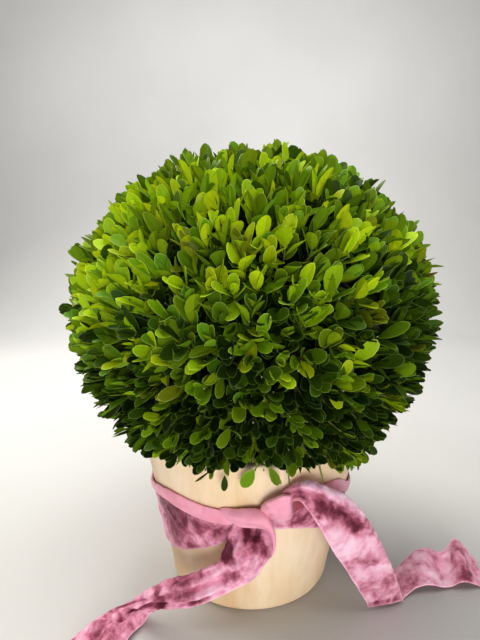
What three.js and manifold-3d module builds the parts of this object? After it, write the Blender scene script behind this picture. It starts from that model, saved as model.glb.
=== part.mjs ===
// A clipped box topiary ball that sits in the mouth of a small turned wooden pot.
// A wide velvet ribbon is tied round the pot, with two loose tails that come down to the
// surface the pot stands on. Millimetres, +Z up, the origin at the middle of the pot's
// underside, the knot of the ribbon in front (-Y).

import * as THREE from "three";
import { mergeVertices } from "three/addons/utils/BufferGeometryUtils.js";
import Module from "manifold-3d";

const wasm = await Module();
wasm.setup();

// ---------------------------------------------------------------- driving dimensions
const GAP = 0.4; // clearance between pieces that touch

// pot: a tapered, turned vessel
const POT_HEIGHT = 132;
const POT_BASE_RADIUS = 68.2; // where the side would meet the ground
const POT_TAPER = 0.194; // growth of the radius per millimetre of height
const POT_WALL = 7;
const POT_FLOOR = 10;
const POT_EDGE = 6; // rounding at the foot
const POT_SEGMENTS = 56;

// filling of the pot, which carries the stem and the underside of the ball
const FILL_TOP = 92;

// stem, hidden inside the ball, with a flared foot
const STEM_RADIUS = 7;
const STEM_FLARE = 5;
const STEM_TOP = 205;
const STEM_LEAN = 4; // how far its top leans towards +X

// ball of clipped foliage, measured to the leaf tips
const BALL_CENTRE_Z = 225;
const BALL_RADIUS = 148.5;
const BALL_HALF_HEIGHT = 140.5;
const BALL_BUMP = 1.7; // how uneven the clipped face is
const BALL_DETAIL = 10;

// ribbon
const RIBBON_THICKNESS = 3; // room for the cloth and its folds
const BAND_SEGMENTS = 72;
const BAND_ROOM_TOP = 109; // the foliage stays clear of the band up to here
const KNOT_AZIMUTH = 4;
const KNOT_Z = 96;
const KNOT_HALF_WIDTH = 24;
const KNOT_HALF_HEIGHT = 13.5;
const KNOT_DEPTH = 12;
const KNOT_TILT = 0.16;
const TAIL_THICKNESS = 5; // a folded tail, with its creases
const GROUND = 0.5; // the ribbon just clears the ground, so the pot carries the weight

// ---------------------------------------------------------------- materials
const finish = (hex, roughness) =>
  new THREE.MeshStandardMaterial({ color: hex, roughness, metalness: 0 });
const WOOD = finish(0xe6cfa8, 0.55);
const FILLING = finish(0x4a3a2a, 0.95);
const BARK = finish(0x6b5a3f, 0.9);
const FOLIAGE = finish(0x55771a, 0.6);
const VELVET = finish(0xc9788f, 0.8);

// ---------------------------------------------------------------- helpers
const group = new THREE.Group();
function add(name, geometry, surface) {
  const mesh = new THREE.Mesh(geometry, surface);
  mesh.name = name;
  group.add(mesh);
}

const potRadius = (z) => POT_BASE_RADIUS + POT_TAPER * z;
const potInner = (z) => potRadius(z) - POT_WALL;

// a point off the pot's side: azimuth in degrees from the front (-Y) towards +X
function offPot(azimuth, z, off) {
  const a = THREE.MathUtils.degToRad(azimuth);
  const r = potRadius(z) + off;
  return new THREE.Vector3(r * Math.sin(a), -r * Math.cos(a), z);
}

// a profile of [radius, height] turned round Z
function turned(profile, segments = POT_SEGMENTS) {
  const g = new THREE.LatheGeometry(
    profile.map(([r, z]) => new THREE.Vector2(r, z)),
    segments,
  );
  return g.rotateX(Math.PI / 2);
}

// moves every corner of a geometry by a rule
function reshape(geometry, rule) {
  const p = geometry.attributes.position;
  for (let i = 0; i < p.count; i++) {
    const v = rule(p.getX(i), p.getY(i), p.getZ(i));
    p.setXYZ(i, v.x, v.y, v.z);
  }
  geometry.computeVertexNormals();
  return geometry;
}

function toSolid(geometry) {
  const g = geometry.clone();
  g.deleteAttribute("normal");
  g.deleteAttribute("uv");
  const merged = mergeVertices(g, 1e-4);
  return new wasm.Manifold(
    new wasm.Mesh({
      numProp: 3,
      vertProperties: new Float32Array(merged.attributes.position.array),
      triVerts: new Uint32Array(merged.index.array),
    }),
  );
}

function toGeometry(solid) {
  const m = solid.getMesh();
  const v = new Float32Array(m.numVert * 3);
  for (let i = 0; i < m.numVert; i++)
    for (let k = 0; k < 3; k++) v[3 * i + k] = m.vertProperties[i * m.numProp + k];
  const g = new THREE.BufferGeometry();
  g.setAttribute("position", new THREE.BufferAttribute(v, 3));
  g.setIndex(new THREE.BufferAttribute(new Uint32Array(m.triVerts), 1));
  g.computeVertexNormals();
  return g;
}

// the main piece of a solid that a cut has left with crumbs
const mainPiece = (solid) =>
  solid.decompose().reduce((a, b) => (b.volume() > a.volume() ? b : a));

// value at x of a table of [x, value] rows
function lookUp(rows, x, column) {
  if (x <= rows[0][0]) return rows[0][column];
  for (let i = 1; i < rows.length; i++)
    if (x <= rows[i][0]) {
      const t = (x - rows[i - 1][0]) / (rows[i][0] - rows[i - 1][0]);
      return THREE.MathUtils.lerp(rows[i - 1][column], rows[i][column], t);
    }
  return rows[rows.length - 1][column];
}

// ---------------------------------------------------------------- pot
const potProfile = [[0, 0]];
for (let i = 0; i <= 4; i++) {
  const a = (i / 4) * (Math.PI / 2) * 0.87;
  potProfile.push([
    potRadius(POT_EDGE) - POT_EDGE + POT_EDGE * Math.sin(a),
    POT_EDGE - POT_EDGE * Math.cos(a),
  ]);
}
potProfile.push(
  [potRadius(POT_HEIGHT - 2), POT_HEIGHT - 2],
  [potRadius(POT_HEIGHT) - 2, POT_HEIGHT],
  [potInner(POT_HEIGHT) + 2, POT_HEIGHT],
  [potInner(POT_HEIGHT - 2), POT_HEIGHT - 2],
  [potInner(POT_FLOOR), POT_FLOOR],
  [0, POT_FLOOR],
);
add("pot", turned(potProfile), WOOD);

// ---------------------------------------------------------------- filling
add(
  "pot_filling",
  turned([
    [0, POT_FLOOR + GAP],
    [potInner(POT_FLOOR) - GAP, POT_FLOOR + GAP],
    [potInner(FILL_TOP) - GAP, FILL_TOP],
    [0, FILL_TOP],
  ]),
  FILLING,
);

// ---------------------------------------------------------------- stem
const STEM_FOOT = FILL_TOP + GAP;
function stem(grow) {
  const profile = [[0, STEM_FOOT - grow]];
  for (let i = 0; i <= 10; i++) {
    const t = i / 10;
    const z = THREE.MathUtils.lerp(STEM_FOOT - grow, STEM_TOP + grow, t);
    profile.push([STEM_RADIUS * (1 - 0.35 * t) + STEM_FLARE * Math.exp(-11 * t) + grow, z]);
  }
  profile.push([0, STEM_TOP + grow]);
  return reshape(turned(profile, 16), (x, y, z) => {
    const t = (z - STEM_FOOT) / (STEM_TOP - STEM_FOOT);
    return new THREE.Vector3(x + STEM_LEAN * t * t, y, z);
  });
}
add("stem", stem(0), BARK);

// ---------------------------------------------------------------- ribbon: band round the pot
// azimuth, height of its lower edge, height of its upper edge
const BAND = [
  [-180, 37, 90],
  [-120, 36, 87],
  [-80, 35.5, 86],
  [-70, 36.3, 90.5],
  [-62, 37.5, 96],
  [-55, 40.5, 100],
  [-40, 50, 102],
  [-25, 61.5, 99],
  [-10, 75, 97.5],
  [0, 80, 98],
  [10, 80.8, 100],
  [26, 77, 107],
  [37, 71, 108.5],
  [47, 65, 108],
  [55, 59.5, 103],
  [68, 48, 93],
  [80, 42, 89],
  [100, 38, 87.5],
  [140, 37, 89],
  [180, 37, 90],
];
const UNIT = 10; // radius of the plain hoop that is bent into the band
const BAND_OFF = GAP + 0.1;
add(
  "ribbon_band",
  reshape(
    turned(
      [
        [UNIT, 0],
        [UNIT + 1, 0],
        [UNIT + 1, 1],
        [UNIT, 1],
        [UNIT, 0],
      ],
      BAND_SEGMENTS,
    ),
    (x, y, z) => {
      const azimuth = THREE.MathUtils.radToDeg(Math.atan2(Math.round(x * 1e9) / 1e9, -y));
      const low = lookUp(BAND, azimuth, 1);
      const top = lookUp(BAND, azimuth, 2);
      const off = BAND_OFF + (Math.hypot(x, y) - UNIT) * RIBBON_THICKNESS;
      return offPot(azimuth, THREE.MathUtils.lerp(low, top, z), off);
    },
  ),
  VELVET,
);

// ---------------------------------------------------------------- ribbon: knot
// a pillow with a flat back against the band
function knot(grow) {
  const back = BAND_OFF + RIBBON_THICKNESS + GAP - grow;
  return reshape(new THREE.SphereGeometry(1, 24, 12), (x, y, z) => {
    const across = (KNOT_HALF_WIDTH + grow) * x;
    const up = (KNOT_HALF_HEIGHT + grow) * y;
    const azimuth = KNOT_AZIMUTH + THREE.MathUtils.radToDeg(across / potRadius(KNOT_Z));
    const off = back + (z > 0 ? (KNOT_DEPTH + 2 * grow) * z : 0);
    return offPot(azimuth, KNOT_Z + up + across * KNOT_TILT, off);
  });
}
add("ribbon_knot", knot(0), VELVET);
const knotRoom = toSolid(knot(GAP));

// ---------------------------------------------------------------- ribbon: tails
// middle of the tail, then the way its face looks, then its width
const LEFT_TAIL = [
  [-1, -97, 86, 0, -1, 0.1, 30],
  [-1, -98, 78, 0, -1, 0.1, 32],
  [-2, -99, 70, -0.1, -1, 0.2, 32],
  [-9, -99.5, 60, -0.2, -1, 0.35, 32],
  [-23, -98.5, 51.5, -0.2, -0.95, 0.4, 32],
  [-41, -95.5, 42, -0.2, -0.9, 0.5, 31],
  [-57, -91, 31.5, -0.2, -0.8, 0.6, 29],
  [-71, -86, 22.5, -0.2, -0.7, 0.7, 27],
  [-82, -82, 14, -0.2, -0.5, 0.85, 28],
  [-91, -83, 6.5, -0.2, -0.2, 0.95, 34],
  [-99, -88, 3.4, 0, 0, 1, 40],
  [-107, -98, 3, 0, 0, 1, 44],
  [-114, -110, 3, 0, 0, 1, 46],
  [-121, -122, 3, 0, 0, 1, 48],
];
const RIGHT_TAIL = [
  [21, -97.5, 109, 0.1, -1, 0.1, 20],
  [31, -100.5, 114.5, 0.1, -0.9, 0.5, 22],
  [43, -102, 110, 0.3, -0.8, 0.55, 25],
  [53, -99, 99, 0.45, -0.8, 0.4, 28],
  [62.5, -94, 86, 0.5, -0.85, 0.25, 30],
  [71, -89, 73, 0.5, -0.87, 0.15, 31],
  [81, -83, 57.5, 0.5, -0.87, 0.1, 31],
  [90, -77, 41, 0.5, -0.87, 0.15, 31],
  [98, -71, 24, 0.5, -0.87, 0.2, 31],
  [105, -65.5, 8, 0.5, -0.87, 0.25, 31],
];
// where the ribbon lies open on the ground, in low waves
const RIGHT_SPREAD = [
  [112, -39, 3.4, 0, 0, 1, 44],
  [121, -33, 4.5, -0.3, 0, 1, 50],
  [131, -29, 10, -0.3, 0, 1, 54],
  [142, -27, 13, 0.1, 0, 1, 56],
  [154, -26, 8, 0.3, 0, 1, 58],
  [165, -25, 8, -0.2, 0, 1, 58],
  [176, -24, 14, -0.1, 0, 1, 58],
  [187, -23, 10, 0.3, 0, 1, 60],
  [199, -22, 3.4, 0, 0, 1, 60],
];

// a flat strap bent along its stations
function strap(stations, thickness, steps, grow = 0) {
  const middle = new THREE.CatmullRomCurve3(
    stations.map((s) => new THREE.Vector3(s[0], s[1], s[2])),
    false,
    "catmullrom",
    0.5,
  );
  const facing = new THREE.CatmullRomCurve3(
    stations.map((s) => new THREE.Vector3(s[3], s[4], s[5])),
    false,
    "catmullrom",
    0.5,
  );
  const width = (t) => lookUp(stations.map((s, i) => [i, s[6]]), t * (stations.length - 1), 1);
  const bent = new THREE.BoxGeometry(1, 1, 1, 1, 1, steps);
  return reshape(bent, (x, y, z) => {
    const t = z + 0.5;
    const along = middle.getTangent(t);
    const up = facing.getPoint(t);
    up.addScaledVector(along, -up.dot(along)).normalize();
    const side = new THREE.Vector3().crossVectors(up, along);
    return middle
      .getPoint(t)
      .addScaledVector(side, x * (width(t) + 2 * grow))
      .addScaledVector(up, y * (thickness + 2 * grow))
      .addScaledVector(along, grow ? Math.sign(z) * (Math.abs(z) === 0.5 ? grow : 0) : 0);
  });
}
const ground = toSolid(new THREE.BoxGeometry(800, 800, 100).translate(0, 0, GROUND - 50));

const leftDrop = strap(LEFT_TAIL.slice(0, 3), 4, 6);
const leftRun = strap(LEFT_TAIL.slice(2, 9), TAIL_THICKNESS, 18);
const leftEnd = strap(LEFT_TAIL.slice(8), 4, 16);
add("tail_left_drop", toGeometry(mainPiece(toSolid(leftDrop).subtract(knotRoom))), VELVET);
add(
  "tail_left_run",
  toGeometry(
    mainPiece(toSolid(leftRun).subtract(toSolid(strap(LEFT_TAIL.slice(0, 3), 4, 6, GAP)))),
  ),
  VELVET,
);
add(
  "tail_left_end",
  toGeometry(
    mainPiece(
      toSolid(leftEnd)
        .subtract(toSolid(strap(LEFT_TAIL.slice(2, 9), TAIL_THICKNESS, 18, GAP)))
        .subtract(ground),
    ),
  ),
  VELVET,
);

const rightArch = strap(RIGHT_TAIL.slice(0, 4), TAIL_THICKNESS, 12);
const rightFall = strap(RIGHT_TAIL.slice(3), TAIL_THICKNESS, 14);
const rightSpread = strap(RIGHT_SPREAD, 3, 32);
add("tail_right_arch", toGeometry(mainPiece(toSolid(rightArch).subtract(knotRoom))), VELVET);
add(
  "tail_right_fall",
  toGeometry(
    mainPiece(
      toSolid(rightFall)
        .subtract(toSolid(strap(RIGHT_TAIL.slice(0, 4), TAIL_THICKNESS, 12, GAP)))
        .subtract(ground),
    ),
  ),
  VELVET,
);
add(
  "tail_right_spread",
  toGeometry(
    mainPiece(
      toSolid(rightSpread)
        .subtract(toSolid(strap(RIGHT_TAIL.slice(3), TAIL_THICKNESS, 14, GAP)))
        .subtract(ground),
    ),
  ),
  VELVET,
);

// ---------------------------------------------------------------- ball of foliage
// low, rounded lumps over the clipped face, summed from a few fixed waves
const WAVES = [
  [5, 2, 3, 0.4],
  [-3, 6, 2, 1.7],
  [7, -8, 5, 2.9],
  [9, 6, -10, 4.1],
  [-12, 8, 9, 5.3],
  [6, 13, -11, 0.9],
];
function lump(x, y, z) {
  let sum = 0;
  for (const [a, b, c, phase] of WAVES) sum += Math.sin(a * x + b * y + c * z + phase);
  return Math.max(-1, Math.min(1, sum / 3));
}
const sphere = reshape(new THREE.IcosahedronGeometry(1, BALL_DETAIL), (x, y, z) => {
  const r = 1 + (BALL_BUMP / BALL_RADIUS) * lump(x, y, z);
  return new THREE.Vector3(
    x * r * BALL_RADIUS,
    y * r * BALL_RADIUS,
    z * r * BALL_HALF_HEIGHT + BALL_CENTRE_Z,
  );
});
// room for the pot's wall, the filling, the stem and the ribbon
const wallRoom = turned([
  [potInner(60) - GAP, 60],
  [potRadius(60) + GAP, 60],
  [potRadius(POT_HEIGHT) + GAP, POT_HEIGHT + GAP],
  [potInner(POT_HEIGHT) - GAP, POT_HEIGHT + GAP],
  [potInner(60) - GAP, 60],
]);
const fillingRoom = turned([
  [0, 60],
  [potInner(60) + 1, 60],
  [potInner(STEM_FOOT) + 1, STEM_FOOT],
  [0, STEM_FOOT],
]);
const bandRoom = turned([
  [potRadius(80), 80],
  [potRadius(80) + BAND_OFF + RIBBON_THICKNESS + GAP, 80],
  [potRadius(BAND_ROOM_TOP) + BAND_OFF + RIBBON_THICKNESS + GAP, BAND_ROOM_TOP],
  [potRadius(BAND_ROOM_TOP), BAND_ROOM_TOP],
  [potRadius(80), 80],
]);
add(
  "crown_ball",
  toGeometry(
    mainPiece(
      toSolid(sphere)
        .subtract(toSolid(wallRoom))
        .subtract(toSolid(fillingRoom))
        .subtract(toSolid(bandRoom))
        .subtract(toSolid(stem(GAP)))
        .subtract(knotRoom)
        .subtract(toSolid(strap(RIGHT_TAIL.slice(0, 4), TAIL_THICKNESS, 12, 2 * GAP)))
        .subtract(toSolid(strap(RIGHT_TAIL.slice(3), TAIL_THICKNESS, 14, 2 * GAP))),
    ),
  ),
  FOLIAGE,
);

export default group;
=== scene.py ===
import math

import bpy
import numpy as np
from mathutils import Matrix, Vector
from mathutils.kdtree import KDTree
from mathutils.noise import fractal, noise, turbulence


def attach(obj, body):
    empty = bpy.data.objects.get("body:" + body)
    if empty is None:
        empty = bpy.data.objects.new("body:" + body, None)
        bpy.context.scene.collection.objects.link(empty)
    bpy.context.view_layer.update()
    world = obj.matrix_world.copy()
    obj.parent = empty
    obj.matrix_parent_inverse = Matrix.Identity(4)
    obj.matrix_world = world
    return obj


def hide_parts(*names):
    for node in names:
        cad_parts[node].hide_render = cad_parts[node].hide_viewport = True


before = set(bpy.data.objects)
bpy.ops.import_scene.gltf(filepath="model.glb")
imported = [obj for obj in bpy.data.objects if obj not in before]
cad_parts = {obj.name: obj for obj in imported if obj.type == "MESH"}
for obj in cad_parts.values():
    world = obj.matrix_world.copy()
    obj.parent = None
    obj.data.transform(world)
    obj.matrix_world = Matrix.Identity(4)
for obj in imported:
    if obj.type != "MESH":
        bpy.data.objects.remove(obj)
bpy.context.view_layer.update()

# A clipped ball of small box leaves in the mouth of a turned wooden pot, with a wide
# velvet ribbon tied round the pot. Lengths here are millimetres until a mesh is made.
MM = 0.001

# ------------------------------------------------------------------ named sizes
POT_BASE, POT_TAPER, POT_HEIGHT, POT_WALL, POT_FLOOR = 68.2, 0.194, 132.0, 7.0, 10.0
BALL_Z, BALL_R, BALL_H = 225.0, 148.5, 140.5
FILL_TOP, STEM_TOP = 92.0, 205.0

SPRIGS = 1430  # clipped shoots over the whole ball
SEED = 20417


def pot_r(z):
    return POT_BASE + POT_TAPER * z


def off_pot(az, z, off):
    a = math.radians(az)
    r = pot_r(z) + off
    return (r * math.sin(a), -r * math.cos(a), z)


# ------------------------------------------------------------------ camera, light, stage
scene = bpy.context.scene
scene.view_settings.view_transform = "Standard"
scene.view_settings.look = "None"
scene.view_settings.exposure = 0.0
scene.view_settings.gamma = 1.0

cam_data = bpy.data.cameras.new("camera")
cam_data.lens = 25.875
cam_data.sensor_width = 36.0
cam_data.clip_start = 0.01
cam = bpy.data.objects.new("camera", cam_data)
cam.location = (-0.0089, -0.39594, 0.27432)
cam.rotation_euler = (math.radians(90 - 7.5), 0, 0)
scene.collection.objects.link(cam)
scene.camera = cam


def area_light(name, place, aim, size, power, colour=(1, 1, 1), size_y=None):
    data = bpy.data.lights.new(name, "AREA")
    data.energy = power
    data.color = colour
    data.size = size
    if size_y:
        data.shape = "RECTANGLE"
        data.size_y = size_y
    o = bpy.data.objects.new(name, data)
    o.location = place
    o.rotation_euler = (Vector(aim) - Vector(place)).to_track_quat("-Z", "Y").to_euler()
    o.visible_camera = False
    scene.collection.objects.link(o)
    return o


area_light("window", (-0.70, 0.55, 1.25), (0, 0, 0.28), 1.1, 26.0, (1.0, 0.98, 0.92))
area_light("ceiling", (0.0, -0.25, 1.6), (0, 0, 0.22), 1.1, 16.8, (1.0, 0.985, 0.95))
area_light("front", (0.12, -1.34, 0.20), (0, 0, 0.04), 0.55, 12.8, (1.0, 0.98, 0.95))
area_light("backdrop", (0.0, 0.50, 1.35), (0, 1.9, 0.85), 1.8, 26.0, (1.0, 1.0, 1.0), 0.5)

world = bpy.data.worlds.new("world")
scene.world = world
world.use_nodes = True
world.node_tree.nodes["Background"].inputs[0].default_value = (0.98, 0.94, 0.87, 1)
world.node_tree.nodes["Background"].inputs[1].default_value = 0.22


# ------------------------------------------------------------------ mesh helpers
SHIFTS = (Vector((0.0, 0.0, 0.0)), Vector((31.7, 12.9, 57.3)), Vector((73.1, 94.3, 21.9)))


def noise_vector(v):
    """Three values of smooth noise at v, the same at every run."""
    return Vector([noise(v + shift) for shift in SHIFTS])


def make_object(name, verts, faces, slots=None, materials=(), smooth=True, sharp=None):
    """verts in millimetres; faces is an (n, 3) or (n, 4) array; sharp marks the corners
    between which an edge is a crease."""
    verts = np.asarray(verts, np.float64).reshape(-1, 3)
    faces = np.asarray(faces, np.int32)
    me = bpy.data.meshes.new(name)
    me.vertices.add(len(verts))
    me.vertices.foreach_set("co", (verts * MM).astype(np.float32).ravel())
    n, k = faces.shape
    me.loops.add(n * k)
    me.loops.foreach_set("vertex_index", faces.ravel())
    me.polygons.add(n)
    me.polygons.foreach_set("loop_start", np.arange(0, n * k, k, dtype=np.int32))
    for m in materials:
        me.materials.append(m)
    if slots is not None:
        me.polygons.foreach_set("material_index", np.asarray(slots, np.int32))
    me.update(calc_edges=True)
    me.polygons.foreach_set("use_smooth", np.full(n, bool(smooth)))
    if sharp is not None:
        ends = np.empty(2 * len(me.edges), np.int32)
        me.edges.foreach_get("vertices", ends)
        ends = ends.reshape(-1, 2)
        me.edges.foreach_set("use_edge_sharp", sharp[ends[:, 0]] & sharp[ends[:, 1]])
    me.update()
    o = bpy.data.objects.new(name, me)
    scene.collection.objects.link(o)
    return o


def grid_faces(rows, cols, close_rows=False, close_cols=False):
    i = np.arange(rows if close_rows else rows - 1)
    j = np.arange(cols if close_cols else cols - 1)
    a, b = np.meshgrid(i, j, indexing="ij")
    a2, b2 = (a + 1) % rows, (b + 1) % cols
    return np.stack(
        [a * cols + b, a2 * cols + b, a2 * cols + b2, a * cols + b2], -1
    ).reshape(-1, 4)


def turned(profile, segments, wobble=None):
    """A profile of (radius, height) rows turned round Z, with its ends on the axis."""
    prof = np.asarray(profile, float)
    a = np.linspace(0, 2 * np.pi, segments, endpoint=False)
    r, z = prof[1:-1, 0][:, None], prof[1:-1, 1][:, None]
    x, y = r * np.sin(a), -r * np.cos(a)
    body = np.stack([x, y, np.broadcast_to(z, x.shape)], -1)
    if wobble is not None:
        body = wobble(body)
    rows = body.shape[0]
    verts = np.concatenate([body.reshape(-1, 3), [[0, 0, prof[0, 1]], [0, 0, prof[-1, 1]]]])
    quads = grid_faces(rows, segments, close_cols=True)
    quads = quads[:, [0, 3, 2, 1]]
    j = np.arange(segments)
    k = (j + 1) % segments
    low, top = rows * segments, rows * segments + 1
    last = (rows - 1) * segments
    caps = np.concatenate(
        [np.stack([k, j, np.full(segments, low)], -1),
         np.stack([last + j, last + k, np.full(segments, top)], -1)]
    )
    tris = np.concatenate([quads[:, [0, 1, 2]], quads[:, [0, 2, 3]], caps])
    return verts, tris


def smooth_table(points, count, closed=False):
    """Catmull-Rom through an array of stations (first axis), resampled to count."""
    p = np.asarray(points, float)
    if closed:
        p = np.concatenate([p[-1:], p, p[:2]])
        t = np.linspace(0, len(p) - 3, count, endpoint=False)
    else:
        p = np.concatenate([2 * p[:1] - p[1:2], p, 2 * p[-1:] - p[-2:-1]])
        t = np.linspace(0, len(p) - 3, count)
    i = np.minimum(t.astype(int), len(p) - 4)
    f = (t - i).reshape((-1,) + (1,) * (p.ndim - 1))
    a, b, c, d = p[i], p[i + 1], p[i + 2], p[i + 3]
    return 0.5 * (
        2 * b + (c - a) * f + (2 * a - 5 * b + 4 * c - d) * f**2
        + (3 * b - a - 3 * c + d) * f**3
    )


# ------------------------------------------------------------------ material helpers
def new_material(name):
    m = bpy.data.materials.new(name)
    m.use_nodes = True
    nt = m.node_tree
    return m, nt, nt.nodes["Principled BSDF"]


def srgb(r, g, b):
    """0-255 display values to the linear values a shader takes."""
    def lin(c):
        c /= 255.0
        return c / 12.92 if c <= 0.04045 else ((c + 0.055) / 1.055) ** 2.4
    return (lin(r), lin(g), lin(b), 1.0)


def node(nt, kind, **values):
    n = nt.nodes.new(kind)
    for key, v in values.items():
        if hasattr(n, key):
            setattr(n, key, v)
    return n


def noise_node(nt, vector, scale, detail=3.0, rough=0.5, distortion=0.0):
    n = nt.nodes.new("ShaderNodeTexNoise")
    n.inputs["Scale"].default_value = scale
    n.inputs["Detail"].default_value = detail
    n.inputs["Roughness"].default_value = rough
    n.inputs["Distortion"].default_value = distortion
    nt.links.new(vector, n.inputs["Vector"])
    return n


def ramp_node(nt, fac, stops):
    n = nt.nodes.new("ShaderNodeValToRGB")
    e = n.color_ramp.elements
    while len(e) < len(stops):
        e.new(0.5)
    for el, (pos, col) in zip(e, stops):
        el.position = pos
        el.color = col
    nt.links.new(fac, n.inputs["Fac"])
    return n


def mapping(nt, scale=(1, 1, 1)):
    c = nt.nodes.new("ShaderNodeTexCoord")
    m = nt.nodes.new("ShaderNodeMapping")
    m.inputs["Scale"].default_value = scale
    nt.links.new(c.outputs["Object"], m.inputs["Vector"])
    return m.outputs["Vector"]


def bump_from(nt, bsdf, height, strength, distance):
    b = nt.nodes.new("ShaderNodeBump")
    b.inputs["Strength"].default_value = strength
    b.inputs["Distance"].default_value = distance
    nt.links.new(height, b.inputs["Height"])
    nt.links.new(b.outputs["Normal"], bsdf.inputs["Normal"])
    return b


def mix_colour(nt, fac, a, b, mode="MIX"):
    n = nt.nodes.new("ShaderNodeMix")
    n.data_type = "RGBA"
    n.blend_type = mode
    if isinstance(fac, (int, float)):
        n.inputs[0].default_value = fac
    else:
        nt.links.new(fac, n.inputs[0])
    for sock, v in ((n.inputs[6], a), (n.inputs[7], b)):
        if isinstance(v, tuple):
            sock.default_value = v
        else:
            nt.links.new(v, sock)
    return n.outputs[2]


# ------------------------------------------------------------------ stage
def make_stage():
    rows = []
    for y in np.linspace(-3.0, 1.1, 8):
        rows.append((y, 0.0))
    for a in np.linspace(0, math.pi / 2, 16)[1:]:
        rows.append((1.1 + 0.8 * math.sin(a), 0.8 - 0.8 * math.cos(a)))
    rows.append((1.9, 3.4))
    verts = [(x * 1000, y * 1000, z * 1000) for y, z in rows for x in (-3.2, 3.2)]
    o = make_object("floor", verts, grid_faces(len(rows), 2)[:, ::-1], smooth=True)
    m, nt, b = new_material("floor_paint")
    v = mapping(nt)
    n = noise_node(nt, v, 2.2, 4)
    r = ramp_node(nt, n.outputs["Fac"], [(0.3, (0.46, 0.456, 0.448, 1)), (0.7, (0.50, 0.496, 0.488, 1))])
    nt.links.new(r.outputs["Color"], b.inputs["Base Color"])
    b.inputs["Roughness"].default_value = 0.75
    o.data.materials.append(m)


make_stage()


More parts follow.
